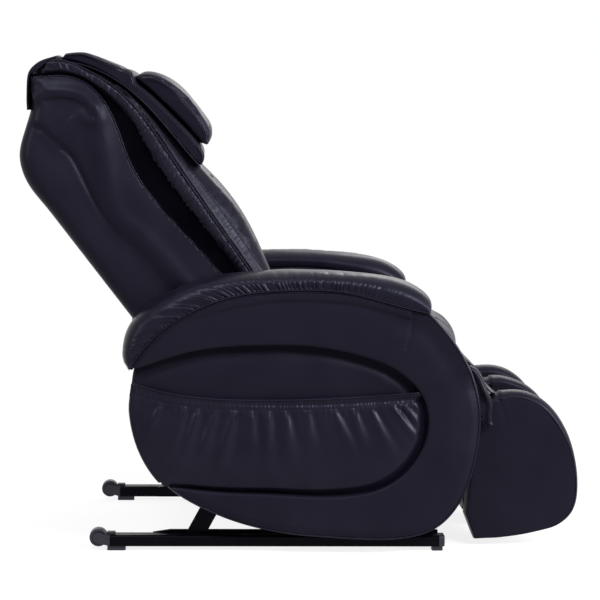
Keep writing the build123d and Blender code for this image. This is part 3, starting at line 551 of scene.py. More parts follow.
def coated(name, colour, worn, rough, coat=0.0, shine=0.4):
    """Paint, plastic or rubber with a fine surface texture and light wear."""
    material, tree, shader, noise = shader_nodes(name)
    wire(spread(tree, noise(28.0, 8.0), colour, worn, 0.4, 0.8), shader.inputs["Base Color"])
    wire(spread(tree, noise(40.0), *rough), shader.inputs["Roughness"])
    bump(tree, shader, [(noise(900.0), 0.0002, 0.3)])
    dial(shader, {"Coat Weight": coat, "Specular IOR Level": shine, "Specular Tint": (0.82, 0.80, 1.0, 1)})
    return material


def plywood(name):
    """Layered wood with long grain."""
    material, tree, shader, _ = shader_nodes(name)
    wave = tree.nodes.new("ShaderNodeTexWave")
    dial(wave, {"Scale": 28.0, "Distortion": 6.0, "Detail": 4.0})
    place = tree.nodes.new("ShaderNodeTexCoord")
    wire(place.outputs["Object"], wave.inputs["Vector"])
    colour = spread(tree, wave.outputs["Fac"], (0.36, 0.22, 0.11), (0.52, 0.36, 0.20), 0.2, 0.9)
    wire(colour, shader.inputs["Base Color"])
    bump(tree, shader, [(wave.outputs["Fac"], 0.0003, 0.4)])
    dial(shader, {"Roughness": 0.7})
    return material


LEATHER = leather("navy_leather", (0.0058, 0.0055, 0.0105), (0.0076, 0.0073, 0.0130))
GATHERED = leather("gathered_leather", (0.0052, 0.0049, 0.0098), (0.0074, 0.0071, 0.0128), (0.28, 0.38),
                   shine=0.12)
# Painted shade: near-black leather without sheen, put on the gusset's fold where shade falls.
PAINTED_SHADE_LEATHER = leather("painted_shade_leather", (0.0012, 0.0011, 0.0022), (0.0020, 0.0019, 0.0034), (0.60, 0.75), 0.1, 0.0)
# Painted highlight: lighter leather on the strip along each wing, standing in for the light that falls on it.
PAINTED_HIGHLIGHT_LEATHER = leather("painted_highlight_leather", (0.0200, 0.0192, 0.0290), (0.0300, 0.0290, 0.0420), (0.30, 0.42), 0.3, 0.12)
PIPING = leather("piping_leather", (0.0060, 0.0058, 0.0110), (0.0105, 0.0102, 0.0180), (0.30, 0.40), 0.1, 0.1)
NODE_MATERIALS = {
    "frame_steel": coated("powder_coat", (0.0010, 0.0010, 0.0020), (0.0020, 0.0020, 0.0035), (0.22, 0.32),
                          shine=0.05),
    "black_plastic": coated("moulded_plastic", (0.010, 0.010, 0.013), (0.016, 0.016, 0.020), (0.32, 0.45)),
    "wheel_plastic": coated("wheel_tread", (0.014, 0.014, 0.018), (0.022, 0.022, 0.026), (0.25, 0.4)),
    "actuator_paint": coated("actuator_paint_coat", (0.05, 0.05, 0.055), (0.07, 0.07, 0.075), (0.3, 0.42)),
    "rod_chrome": metal("rod_chrome_plate", (0.62, 0.62, 0.65), (0.55, 0.55, 0.58), (0.08, 0.18)),
    "switch_plastic": coated("switch_red", (0.35, 0.012, 0.012), (0.42, 0.02, 0.02), (0.2, 0.3), coat=0.5),
    "machined_steel": metal("turned_steel", (0.42, 0.42, 0.44), (0.34, 0.34, 0.36), (0.25, 0.4)),
    "roller_rubber": coated("roller_skin", (0.10, 0.10, 0.105), (0.14, 0.14, 0.145), (0.6, 0.75)),
    "plywood": plywood("birch_plywood"),
    "leather": LEATHER,
}


def dress_nodes():
    """Gives every CAD node the material of its slot in the record."""
    for entry in frame["record"]["subparts"]:
        for slot in frame["nodes"][entry["node"]].material_slots:
            slot.material = NODE_MATERIALS[entry["material_slot"]]


def paint(piece, *materials):
    """Gives a piece these materials in place of its own."""
    piece.data.materials.clear()
    for material in materials:
        piece.data.materials.append(material)


def two_tone(piece, first, second, chosen):
    """Gives the faces whose centres are chosen a second material."""
    paint(piece, first, second)
    centres = np.array([polygon.center for polygon in piece.data.polygons])
    piece.data.polygons.foreach_set("material_index", chosen(centres).astype(np.int32))


def settle(piece, material, body, nodes=(), fill=None, cut=None):
    """Last steps of a piece: material, body and the CAD nodes it stands for. Its fill and cut are not used."""
    if material is not None:
        paint(piece, material)
    if isinstance(body, tuple):
        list(body)
        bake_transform(piece)
    else:
        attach(piece, body)
    if nodes:
        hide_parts(*nodes)
    if cut is not None:
        flat, area, held, rests_on = cut


def pair(piece, material, body, nodes=(), fill=None, cut=None):
    """Settles a piece of the chair's right side and its mirror image on the left."""
    other = piece.copy()
    other.data = piece.data.copy()
    other.name = piece.name.replace("right", "left")
    bpy.context.scene.collection.objects.link(other)
    for vertex in other.data.vertices:
        vertex.co.y = -vertex.co.y
    other.data.flip_normals()
    settle(piece, material, body, nodes, fill, cut=cut)
    if cut is not None:
        cut = (*cut[:3], cut[3].replace("right", "left"))
    settle(other, material, body, [node.replace("right", "left") for node in nodes], fill, cut=cut)


def span(node):
    """The y of a right-hand node's outer and inner faces."""
    low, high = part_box(node)
    return low.y, high.y


# ---------------------------------------------------------------- side panels and pockets
CRESCENT = smooth_curve(mm((-335, 501), (-272, 537), (-203, 559), (-125, 577), (-23, 587), (98, 581),
                           (171, 566), (247, 544)))
CRESCENT_END = smooth_curve(mm((247, 544), (243, 515), (234, 482)))
CRESCENT_SPAN = (-0.34, 0.244)  # x over which the panel above the crescent is raised
ROLL = 7 * MM                   # rounding of the recess's lip
POCKET_CUT = (0.74, 0.29)       # the pocket's sheet laid flat, before it is gathered
POCKET_AREA = 0.18              # of that sheet, which is cut as an oval


def split_recess():
    """The whole outline of a side panel, its recess's edge and the closed outline of the recess."""
    whole = node_loop("right_side_panel", 1)
    cut = node_loop("right_side_panel", -1, 3 * MM)
    edge = marked_run(cut, nearest(cut, whole, closed=True)[0] > 1.5 * MM)
    behind = whole[:, 0].min() - 60 * MM
    loop = np.vstack((edge, [(behind, edge[-1, 1]), (behind, edge[0, 1])]))
    return whole, edge, loop


def lip(points, edge, loop, depth):
    """Relief of the recess: a rolled lip outside its edge and a sunk floor inside it."""
    distance = nearest(points, edge)[0]
    within = inside(points, loop)
    d = np.clip(distance, 0, ROLL)
    roll = np.sqrt(ROLL ** 2 - (ROLL - d) ** 2) - ROLL
    floor = -depth + 3 * MM * ramp(distance, 0, 60 * MM) - 8 * MM * (1 - ramp(distance, 0, 40 * MM))
    return np.where(within, floor, roll * 0.8)


def side_panel():
    """Upholstered D-shaped panel: rolled recess, crescent crease and piped edge."""
    node = "right_side_panel"
    outer, inner = span(node)
    whole, edge, loop = split_recess()
    depth = 26 * MM         # of the recess
    seam_in = 5 * MM        # from the outline to the face's edge
    seam = inset(whole, seam_in)
    arm_line = seam[(normals_of(seam)[:, 1] > 0.35) & (seam[:, 1] > 0.43)]

    def height(points):
        relief = lip(points, edge, loop, depth)
        border = nearest(points, seam, closed=True)[0]
        under_arm = nearest(points, arm_line)[0]
        beside_recess = (relief > -depth * 0.8) * ramp(under_arm, 4 * MM, 30 * MM)
        relief -= 5 * MM * (1 - ramp(border, 0, 20 * MM)) * beside_recess
        crease, _, left = nearest(points, CRESCENT)
        end = nearest(points, CRESCENT_END)[0]
        beyond_start, before_end = points[:, 0] > CRESCENT_SPAN[0], points[:, 0] < CRESCENT_SPAN[1]
        above = np.where((left > 0) & beyond_start & before_end, 1.0, 0.0)
        fade = ramp(points[:, 0], -0.33, -0.18)
        relief += 4.5 * MM * above * fade * (0.5 + 0.5 * groove(crease, 34 * MM)) * ramp(crease, 0, 7 * MM)
        relief -= 1.2 * MM * (1 - above) * groove(crease, 13 * MM) * fade
        relief -= 2.2 * MM * groove(end, 4 * MM)
        crown = np.clip(1 - border / (80 * MM), 0, 1) ** 2 * ramp(points[:, 0], 0.12, 0.26)
        crown *= ramp(points[:, 1], 0.12, 0.30) * ramp(under_arm, 4 * MM, 50 * MM)
        relief -= 18 * MM * crown * ramp(nearest(points, edge)[0], 20 * MM, 60 * MM)
        return relief + 0.5 * MM * waves(points, 0.11, 3)

    normals = normals_of(loop)[:len(edge)]
    rows = [edge + normals * d for d in np.array((-1.5, -0.4, 0.4, 1.6, 3.5, 6.5, 10.0)) * MM]
    rows += beside(CRESCENT, *(np.array((-6.0, -3.5, -1.2, 1.2, 3.5, 6.0)) * MM))
    rows += beside(CRESCENT_END, *(np.array((-3.0, 0, 3.0)) * MM))
    piece = slab(node + "_cover", whole, outer, inner, height, seam_in, extra=rows)
    pair(piece, LEATHER, "base", (node,))
    path = inset(whole, seam_in - 0.3 * MM)
    level = outer - height(path) - 0.4 * MM
    shown = marked_run(side_points(path, level), ~inside(path, loop))
    pair(tube(node + "_piping", shown, PIPE), PIPING, "base")


def side_pocket():
    """Elastic pocket: gathered band below its hem, fanned folds and a wrap round the panel's rear edge."""
    node = "right_side_pocket"
    outer, inner = span(node)
    loop = node_loop(node, -1)
    low, high = loop.min(0), loop.max(0)
    top = loop[normals_of(loop)[:, 1] > 0.8]
    top = top[(top[:, 0] > low[0] + 0.02) & (top[:, 1] > (low[1] + high[1]) / 2)]
    mouth = resample(top[np.argsort(top[:, 0])], 4 * MM)
    length = length_along(mouth)[-1]
    folds = []
    picks = np.random.default_rng(11)
    at = 0.04
    while at < length - 0.03:
        lean = (at / length - 0.48) * 1.5 + picks.normal(0, 0.10)
        reach_down = picks.uniform(0.10, 0.15) + 0.12 * sin(pi * at / length) * picks.uniform(0.3, 1.0)
        folds.append((at, lean, reach_down, picks.uniform(0.6, 1.0)))
        at += picks.uniform(0.030, 0.052)

    def wrapped(points):
        """1 where the pocket lies over the panel's rear edge."""
        return 1 - ramp(points[:, 0], -0.38, -0.20)

    def height(points):
        distance, along, _ = nearest(points, mouth)
        border = nearest(points, loop, closed=True)[0]
        belly = 6 * MM * ramp(distance, 20 * MM, 110 * MM) * ramp(border, 0, 60 * MM)
        band = ramp(distance, 1 * MM, 4 * MM) * (1 - ramp(distance, 15 * MM, 27 * MM))
        below = ramp(distance, 22 * MM, 28 * MM) * (1 - ramp(distance, 34 * MM, 62 * MM))
        fine = 1.7 * MM * (pleats(along, 9 * MM, 5) ** 0.8 - 0.6) * band
        fine += 1.8 * MM * (pleats(along, 15 * MM, 6) - 0.5) * below
        relief = belly + fine - 1.2 * MM * groove(distance - 24 * MM, 2.5 * MM)
        rim_side = ramp(distance, 5 * MM, 22 * MM)
        fall = np.interp(points[:, 0], (-0.2, 0.3), (15 * MM, 30 * MM))
        relief -= 17 * MM * (1 - ramp(border / fall, 0.05, 1.0)) * rim_side * (1 - wrapped(points))
        relief -= 4 * MM * (1 - ramp(border, 0, 9 * MM)) * rim_side * wrapped(points)
        rear = ramp(points[:, 0], low[0] + 0.02, low[0] + 0.08)
        for start, lean, reach_down, size in folds:
            where = np.interp(start, np.linspace(0, length, len(mouth)), mouth[:, 0])
            down = np.interp(where, mouth[:, 0], mouth[:, 1]) - points[:, 1]
            centre = where + lean * down
            width = 4.5 * MM + 0.07 * np.clip(down, 0, 0.2)
            beyond = points[:, 0] - centre
            shape = groove(beyond, width) - 0.8 * groove(beyond - 2 * width, width)
            fade = ramp(down, 20 * MM, 44 * MM) * (1 - ramp(down, reach_down * 0.4, reach_down))
            relief += 5.4 * MM * size * shape * fade * rear
        return relief + 0.6 * MM * waves(points, 0.09, 8)

    wrap_edge = node_loop("right_side_panel", 1)
    behind = wrap_edge[wrap_edge[:, 0] < -0.3]
    behind = behind[np.argsort(behind[:, 1])]
    edge_x = np.interp(loop[:, 1], behind[:, 1], behind[:, 0]) - 0.6 * MM
    taper = 1 - ramp(loop[(loop[:, 0] < -0.38), 1].max() - loop[:, 1], 0, 70 * MM)
    loop[:, 0] = np.maximum(loop[:, 0], loop[:, 0] + (edge_x - loop[:, 0]) * taper)
    fine_mouth = resample(mouth, 1.7 * MM)
    rows = [fine_mouth - (0, d) for d in np.arange(2, 40, 2.2) * MM]
    rows += [mouth - (0, d) for d in np.arange(40, 62, 3) * MM]
    piece = wrapped_slab(node + "_cover", loop, outer, inner, 3.5 * MM, height, wrap_edge, rows)
    cut = (POCKET_CUT, POCKET_AREA, "gathered", "right_side_panel_cover")
    pair(piece, GATHERED, "base", (node,), cut=cut)
    hem = mouth[(mouth[:, 0] > low[0] + 0.006) & (mouth[:, 0] < high[0] - 0.004)]
    path = side_points(hem - (0, 1.5 * MM), outer - height(hem - (0, 3 * MM)) - 0.6 * MM)
    pair(tube(node + "_hem", path, 1.9 * MM), PIPING, "base")


def wrapped_slab(name, loop, face_y, wrap_y, thick, height, board, extra):
    """Cover of even thickness in front of a board that also wraps round the board's edge down to wrap_y."""
    out = 1 if face_y > wrap_y else -1
    seam_in = 3 * MM
    front = inset(loop, seam_in)
    points, faces = fill(front, GRID * 0.8, extra)
    face = (side_points(points, face_y + out * height(points)), faces)
    start = face_y + out * height(front)
    level = np.where(inside(front, board), start - out * thick, wrap_y)
    covered = (board[:, 0] < front[:, 0].max()) & (nearest(board, front, closed=True)[0] < 50 * MM)
    points, faces = fill(front, GRID, [inset(board, d)[covered] for d in (0.8 * MM, -0.8 * MM)])
    behind = face_y + out * (height(points) - thick)
    back = (side_points(points, np.where(inside(points, board), behind, wrap_y)), faces)
    return new_object(name, *gather_parts([face, bulging_band(loop, seam_in, start, level), back]))


# ---------------------------------------------------------------- armrests
def armrest():
    """Padded roll over the panel and the inner wall, gathered along its outer seam."""
    node = "right_armrest"
    outer, inner = span(node)
    loop = node_loop(node, -1, 2 * MM)
    rear = int(loop[:, 1].argmin())
    loop = np.roll(loop, -rear, axis=0)
    front_part = loop[:, 0] > loop[:, 0].max() - 0.03
    front = int(np.flatnonzero(front_part)[loop[front_part][:, 1].argmin()])
    count = 620             # rows from the rear end to the front end
    power = 2.9             # of the roll's rounded cross section
    seam, crown = loop[:front + 1], np.vstack((loop[front:], loop[:1]))[::-1]
    seam = resample(seam, length_along(seam)[-1] / count)
    crown = resample(crown, length_along(crown)[-1] / count)
    angles = np.concatenate((pi / 2 * np.linspace(0, 1, 36) ** 1.25, np.linspace(pi / 2, pi, 16)[1:]))
    across = np.sign(np.cos(angles)) * np.abs(np.cos(angles)) ** (2 / power)
    rise = np.abs(np.sin(angles)) ** (2 / power)
    middle, half = (outer + inner) / 2, abs(outer - inner) / 2
    tuck = 5 * MM * (1 - ramp(rise, 0, 0.5))
    grid = np.empty((count + 1, len(angles), 3))
    grid[:, :, ::2] = seam[:, None] + (crown - seam)[:, None] * rise[None, :, None]
    grid[:, :, 1] = middle - across * (half - tuck)
    normal = np.cross(np.gradient(grid, axis=0), np.gradient(grid, axis=1))
    normal /= np.linalg.norm(normal, axis=2)[..., None] + 1e-9
    normal *= np.sign(normal[count // 2, 35, 2])
    along = length_along(seam)
    seam_gap = np.abs(grid[:, :, 1] - outer)
    height = np.linalg.norm(grid[:, :, ::2] - seam[:, None], axis=2)
    lean = 0.95 * (1 - ramp(along, 0.12, 0.42)) + 0.15
    skew = along[:, None] + lean[:, None] * height
    strength = 0.5 + 0.5 * ramp(along, 30 * MM, 160 * MM)
    strength *= 1 - 0.9 * ramp(seam[:, 0], 0.10, 0.24)
    near = ramp(height, 0, 4 * MM) * (across > 0)[None]
    reach = 0.9 + 0.1 * np.sin(along * 2 * pi / 0.037 + 1.0) * np.sin(along * 2 * pi / 0.023)
    share = height / (36 * MM * reach[:, None])
    fine = pleats(skew, 11 * MM, 21) ** 0.6 - 0.75
    broad = pleats(skew + 0.004, 31 * MM, 22) - 0.55
    amount = (6.0 * MM * fine * (1 - ramp(share, 0.15, 1.25)) * (1 - ramp(seam_gap, 20 * MM, 60 * MM))
              + 1.0 * MM * broad * ramp(height, 4 * MM, 20 * MM) * (1 - ramp(seam_gap, 40 * MM, 80 * MM)))
    amount *= strength[:, None] * near
    amount += 0.8 * MM * waves(grid.reshape(-1, 3), 0.12, 31).reshape(amount.shape) * ramp(rise, 0, 0.4)[None]
    grid += normal * amount[..., None]
    top = (grid.reshape(-1, 3), grid_faces(count + 1, len(angles)))
    under = np.stack([grid[:, -1] * t + grid[:, 0] * (1 - t) for t in np.linspace(0, 1, 9)], axis=1)
    under = (under.reshape(-1, 3), [(a, d, c, b) for a, b, c, d in grid_faces(count + 1, 9)])
    pair(new_object(node + "_roll", *gather_parts([top, under])), GATHERED, "base", (node,), fill=0.7)
    line = grid[3:-2, 0] - np.array((0, 0.6 * MM, 0.2 * MM))
    pair(tube(node + "_piping", line[::2], PIPE), PIPING, "base")


def inner_wall():
    """Arm's inner wall with the return that closes the arm's front."""
    node = "right_arm_inner_wall"
    outer, inner = span(node)
    loop = node_loop(node, 1)
    thick = 9 * MM
    face = slab(node + "_cover", loop, inner, inner - thick,
                lambda points: 1.0 * MM * waves(points, 0.1, 4) - 2 * MM, 3 * MM)
    pair(face, LEATHER, "base", (node,))
    front = node_loop(node, -1, 3 * MM)
    closing = loft(node + "_front", front, outer, inner - thick * 0.6, 2 * MM, spacing=6 * MM)
    push(closing, lambda points, normals: 0.8 * MM * waves(points, 0.07, 6))
    pair(closing, LEATHER, "base")


# ---------------------------------------------------------------- backrest shell
HOOD = smooth_curve(mm((-640, 1018), (-627, 1027), (-609, 1037), (-585, 1044), (-549, 1044), (-522, 1038),
                       (-504, 1025), (-490, 1000)))
RIDGE = smooth_curve(mm((-476, 1018), (-472, 965), (-462, 910), (-455, 859), (-448, 814), (-420, 761),
                        (-378, 725), (-332, 679), (-285, 624), (-240, 570)))
VALLEY = smooth_curve(mm((-650, 985), (-609, 968), (-585, 947), (-560, 926), (-539, 908), (-521, 877),
                         (-504, 842), (-475, 785), (-441, 739), (-401, 704), (-362, 665), (-329, 626),
                         (-285, 570)))
REAR_SEAM = smooth_curve(mm((-650, 900), (-616, 858), (-586, 817), (-554, 774), (-524, 734), (-493, 697),
                            (-462, 657), (-431, 616), (-400, 579), (-370, 538), (-300, 440)))


def backrest_shell():
    """Moulded rear cover: hood groove, ridge and long crease on its sides, round rear corners."""
    node = "backrest_shell"
    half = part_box(node)[1].y
    corner = 34 * MM
    loop = node_loop(node, 1)
    back = world_to_back(loop)
    tip = int(back[:, 0].argmax())
    loop, back = np.roll(loop, -tip, axis=0), np.roll(back, -tip, axis=0)
    bottom = back[:, 0] < back[:, 0].min() + 4 * MM
    rear_side = back[:, 1] < np.interp(back[:, 0], (-0.02, 0.55, 0.72, 0.85), (-0.08, -0.08, -0.04, 0.038))
    from_tip = np.linalg.norm(loop - loop[0], axis=1)
    weight = smoothed(np.where(rear_side & ~bottom, ramp(from_tip, 0, 70 * MM), 0.0), 9)
    rim = up_the_back(loop[(weight < 1e-3) & (back[:, 0] > 0.03)])

    def height(points):
        valley, _, valley_side = nearest(points, VALLEY)
        hood, hood_along, hood_side = nearest(points, HOOD)
        ridge = nearest(points, RIDGE)[0]
        seam = nearest(points, REAR_SEAM)[0]
        up, out = world_to_back(points).T
        reach = np.where(valley_side > 0, 9 * MM, 42 * MM)
        relief = -6 * MM * groove(valley, reach) - 2 * MM * groove(valley, 45 * MM)
        relief -= 4 * MM * groove(valley, 5 * MM) * ramp(up, 0.38, 0.60)
        within = (hood_side < 0) * ramp(hood_along, 0, 60 * MM) * (1 - ramp(hood_along, 0.12, 0.20))
        relief -= 5.5 * MM * within * ramp(hood, 0, 7 * MM) * (1 - ramp(hood, 14 * MM, 100 * MM))
        relief += 6 * MM * (1 - within) * groove(hood - 14 * MM, 14 * MM) + 7 * MM * groove(ridge, 24 * MM)
        relief -= 9 * MM * np.clip(1 - nearest(points, rim)[0] / (75 * MM), 0, 1) ** 2
        relief -= 1.5 * MM * groove(seam, 3 * MM)
        border = nearest(points, loop, closed=True)[0]
        relief -= 5 * MM * (1 - ramp(border, 0, 14 * MM)) * ramp(0.12 - out, 0.04, 0.1)
        relief += 0.7 * MM * waves(points, 0.14, 41) - 1.5 * MM + 5 * MM * ramp(up, 0.35, 0.5)
        on_bar = ramp(up, 0.66, 0.685) * (1 - ramp(up, 0.725, 0.75))
        floor = -10 * MM + 6 * MM * on_bar * (1 - ramp(np.abs(out), 20 * MM, 45 * MM))
        return floor + 2 * MM * np.logaddexp(0, (relief - floor) / (2 * MM))

    shift = corner * weight
    normal = normals_of(loop)
    front = loop - normal * shift[:, None]
    steps = np.array((-5, -2.5, 0, 2.5, 5)) * MM
    rows = [row for curve in (HOOD, VALLEY, REAR_SEAM) for row in beside(curve, *steps)]
    points, faces = fill(front, GRID, rows)
    level = half + height(points)
    parts = [(side_points(points, level), faces), (side_points(points, -level), faces)]
    band = np.flatnonzero(weight > 1e-3)
    band = np.arange(band.min() - 1, band.max() + 2)
    start = half + height(front)
    rings = []
    for a in np.linspace(0, pi / 2, 8):
        ring = loop - normal * (shift * (1 - sin(a)))[:, None]
        rings.append((ring, start - (start - half + corner) * (1 - cos(a)) * np.clip(weight, 0, 1)))
    ring, y = rings[-1]
    turned = [(ring, -y) for ring, y in reversed(rings[:-1])]
    rings += [(ring, y * (1 - 2 * t)) for t in np.linspace(0, 1, 41)[1:]] + turned
    stacked = np.vstack([side_points(ring[band % len(loop)], y[band % len(loop)]) for ring, y in rings])
    parts.append((stacked, grid_faces(len(rings), len(band))))
    piece = new_object(node + "_cover", *gather_parts(parts))
    points = places(piece.data)
    normals = np.array([vertex.normal for vertex in piece.data.vertices])
    if ((points - points.mean(0)) * normals).sum() < 0:
        piece.data.flip_normals()
    wall = piece.modifiers.new("wall", "SOLIDIFY")
    wall.thickness = 2.5 * MM
    wall.offset = -1
    bake(piece)
    settle(piece, LEATHER, "backrest", (node,))
    path = side_points(rim[::-1], -half - height(rim[::-1]) - 0.3 * MM)
    pair(tube("right_shell_piping", path, PIPE), PIPING, "backrest")


def gusset():
    """Soft side panel: a deep fold beside the shell, painted near-black as shade, then a gathered roll that ends
    at the wing's piping.
    """
    node = "right_side_gusset"
    outer, inner = span(node)
    loop = node_loop(node, -1, 3.5 * MM)
    back = world_to_back(loop)
    front_side = normals_of(loop) @ OUT > 0.3
    wing = up_the_back(loop[front_side & (back[:, 0] > 0)])
    rear = up_the_back(loop[(normals_of(loop) @ OUT < 0.05) & (back[:, 0] > 0)])

    def place(points):
        """Height up the back, distance from the wing, share from the shell's rim to the wing, and gathers."""
        ahead, along, _ = nearest(points, wing)
        behind = nearest(points, rear)[0]
        share = behind / (ahead + behind + 1e-6)
        return world_to_back(points)[:, 0], ahead, share, pleats(along + 0.7 * ahead, 17 * MM, 61)

    def height(points):
        up, ahead, t, gathered = place(points)
        valley = 0.48 - 0.36 * ramp(up, 0.60, 0.78)
        relief = -11.5 * MM * (1 - ramp(t, valley, valley + 0.28)) * ramp(t, 0.0, 0.06)
        roll = ramp(t, valley + 0.08, valley + 0.34)
        relief += 3.5 * MM * roll * (1 - ramp(t, 0.86, 1.0))
        gathers = ramp(ahead, 1 * MM, 5 * MM) * (1 - ramp(ahead, 14 * MM, 40 * MM)) * roll
        relief += 7 * MM * (gathered ** 0.8 - 0.7) * gathers
        relief -= 3 * MM * (1 - ramp(ahead, 0, 5 * MM))
        return relief + 0.8 * MM * waves(points, 0.06, 62)

    def beyond_fold(points):
        """Above 0 on the roll, below 0 in the fold that is painted near-black as shade."""
        up, _, t, gathered = place(points)
        return t - (0.60 - 0.42 * ramp(up, 0.60, 0.78) - 0.06 * (gathered - 0.5))

    starts = resample(wing, 1.8 * MM)
    ends = np.array([rear[np.argmin(np.linalg.norm(rear - point, axis=1))] for point in starts])
    steps = np.linspace(0, 1, 60)
    tracks = starts[:, None] + (ends - starts)[:, None] * steps[None, :, None]
    beyond = beyond_fold(tracks.reshape(-1, 2)).reshape(len(starts), -1)
    crossing = np.array([np.interp(0, row[::-1], steps[::-1]) for row in beyond])
    fold_line = starts + (ends - starts) * crossing[:, None]
    piece = slab(node + "_cover", loop, outer, inner, height, 2 * MM, spacing=3.6 * MM, extra=(fold_line,))

    # Faces of the fold that get the painted shade.
    def in_painted_shade(centres):
        return (beyond_fold(centres[:, ::2]) < 0) & (centres[:, 1] < outer + 16 * MM)

    two_tone(piece, GATHERED, PAINTED_SHADE_LEATHER, in_painted_shade)
    pair(piece, None, "backrest", (node,), fill=0.4)
    line = resample(wing, 4 * MM)
    path = side_points(line, outer + 1.0 * MM)
    pair(tube(node + "_piping", path, PIPE), PIPING, "backrest")


# ---------------------------------------------------------------- cushions
def facing(*directions):
    """Weight that rounds the edges of a cushion only where its outline faces these side-view directions."""
    def weight(loop, normal):
        share = np.max([ramp(normal @ np.asarray(d, float), 0.05, 0.5) for d in directions], axis=0)
        return smoothed(share, 11)
    return weight


def bolster_seams(points, level):
    """Sewn channels at this y on both sides of the middle."""
    return -6 * MM * (groove(points[:, 1] + level, 5 * MM) + groove(points[:, 1] - level, 5 * MM))


def seam_line(node, name, loop, distance, lift, keep, radius=PIPE):
    """Piping on a head piece's side faces, at a distance inside the part of its outline that keep picks."""
    line = up_the_back(inset(loop, distance)[keep(loop, normals_of(loop))])
    path = side_points(resample(line, 4 * MM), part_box(node)[0].y + lift)
    pair(tube("right_" + name, path, radius), PIPING, "head_rest")


def back_cushion():
    """Backrest's front cushion: a middle pad between two bolsters, with a gathered strip along each wing that is
    painted lighter as a highlight.
    """
    node = "backrest_cushion"
    middle = 0.1            # half the width of the middle pad
    low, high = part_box(node)
    loop = node_loop(node, 1)
    piece = loft(node + "_pad", loop, low.y, high.y, 38 * MM, facing(OUT), run=55 * MM)
    inflate(piece, 8 * MM, 6 * MM)
    wing = world_to_back(node_loop("right_side_gusset", -1, 3 * MM))
    wing = wing[wing[:, 1] > np.interp(wing[:, 0], (0.0, 0.7, 0.85), (0.125, 0.145, 0.07))]
    wing = wing[np.argsort(wing[:, 0])]

    def strip_width(up):
        return np.interp(up, (0.10, 0.35, 0.66), (26 * MM, 24 * MM, 8 * MM))

    def across_strip(up, out):
        """0 on the wing's edge, 1 on the strip's seam."""
        return (out - np.interp(up, wing[:, 0], wing[:, 1])) / strip_width(up)

    def relief(points, normals):
        back = world_to_back(points[:, ::2])
        front = ramp(normals[:, ::2] @ OUT, 0.1, 0.6)
        y = np.abs(points[:, 1])
        amount = bolster_seams(points, middle) * front
        amount += 2 * MM * groove(y - 0.155, 0.035) * front
        for level in (0.20, 0.40):
            amount -= 3.0 * MM * groove(back[:, 0] - level, 5 * MM) * front * (y < middle)
        side = ramp(np.abs(normals[:, 1]), 0.5, 0.8)
        share = across_strip(*back.T)
        amount += 14 * MM * ramp(share, 0.0, 0.12) * np.clip(1 - share, 0, 1) * side * (share > 0)
        amount += 2.0 * MM * (pleats(back[:, 0], 12 * MM, 71) - 0.6) * side * (share > 0) * (share < 1)
        amount += 0.7 * MM * waves(points, 0.12, 72) * front
        return amount - 1.0 * MM

    push(piece, relief)

    # Faces of the strip that get the painted highlight.
    def on_painted_highlight(centres):
        up, out = world_to_back(centres[:, ::2]).T
        share = across_strip(up, out)
        at_side = np.abs(centres[:, 1]) > high.y - 22 * MM
        return (share > 0) & (share < 1) & at_side & (up > 0.05) & (up < 0.67)

    two_tone(piece, LEATHER, PAINTED_HIGHLIGHT_LEATHER, on_painted_highlight)
    settle(piece, None, "backrest", (node,), fill=0.7)

    up = np.arange(0.08, 0.69, 0.004)
    out = np.interp(up, wing[:, 0], wing[:, 1]) + strip_width(up)
    path = side_points(smooth_curve(back_to_world(np.stack((up, out), axis=1)), 4 * MM), low.y + 0.4 * MM)
    pair(tube("right_wing_seam", path, 1.3 * MM), PIPING, "backrest")


def head_pad():
    """Padded flap that hangs over the head end: a boxed pad, piped round both edges of its side band."""
    node = "head_pad"
    low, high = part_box(node)
    loop = node_loop(node, 1, 3.5 * MM)
    fuller = ramp(loop[:, 0], -0.57, -0.51) * (1 - ramp(loop[:, 0], -0.405, -0.385))
    fuller = fuller * ramp(normals_of(loop) @ OUT, 0.2, 0.7)
    height = np.interp(loop[:, 0], (-0.53, -0.42), (13 * MM, 19 * MM))
    loop = loop + normals_of(loop) * (height * fuller)[:, None]
    piece = loft(node + "_flap", loop, low.y, high.y, 7 * MM, facing(OUT, -UP), spacing=5 * MM, run=14 * MM)
    inflate(piece, 4 * MM)

    def relief(points, normals):
        back = world_to_back(points[:, ::2])
        front = ramp(normals[:, ::2] @ OUT, 0.1, 0.6)
        amount = -2.5 * MM * groove(back[:, 0] - 0.735, 6 * MM) * front
        amount += 0.6 * MM * waves(points, 0.11, 81)
        return amount - 0.8 * MM * front

    push(piece, relief)
    settle(piece, LEATHER, "head_rest", (node,), fill=0.5)
    seam_line(node, "head_pad_front_piping", loop, 6 * MM, 1.0 * MM,
              lambda outline, normal: (normal @ OUT > 0.3) & (normal @ UP > -0.9))
    seam_line(node, "head_pad_rear_piping", node_loop(node, 1, 3.5 * MM), 2.5 * MM, 0.4 * MM,
              lambda outline, normal: (normal @ OUT < -0.3) & (world_to_back(outline)[:, 0] < 0.83))


def pillow():
    """Head pillow: a plump bag with side panels, piped along both of their seams."""
    node = "head_pillow"
    low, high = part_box(node)
    loop = node_loop(node, 1, 3.5 * MM)
    piece = loft(node + "_bag", loop, low.y + 4 * MM, high.y - 4 * MM, 15 * MM, facing(OUT), spacing=5 * MM,
                 cap=4 * MM, run=60 * MM)
    inflate(piece, 6 * MM)

    def relief(points, normals):
        front = ramp(normals[:, ::2] @ OUT, 0.0, 0.5)
        return 0.8 * MM * waves(points, 0.12, 91) * front

    push(piece, relief)
    settle(piece, LEATHER, "head_rest", (node,), fill=0.8)
    seam_line(node, "pillow_piping", loop, 16 * MM, 2.6 * MM,
              lambda outline, normal: (normal @ OUT > 0.0) & (world_to_back(outline)[:, 0] < 0.695), 1.5 * MM)


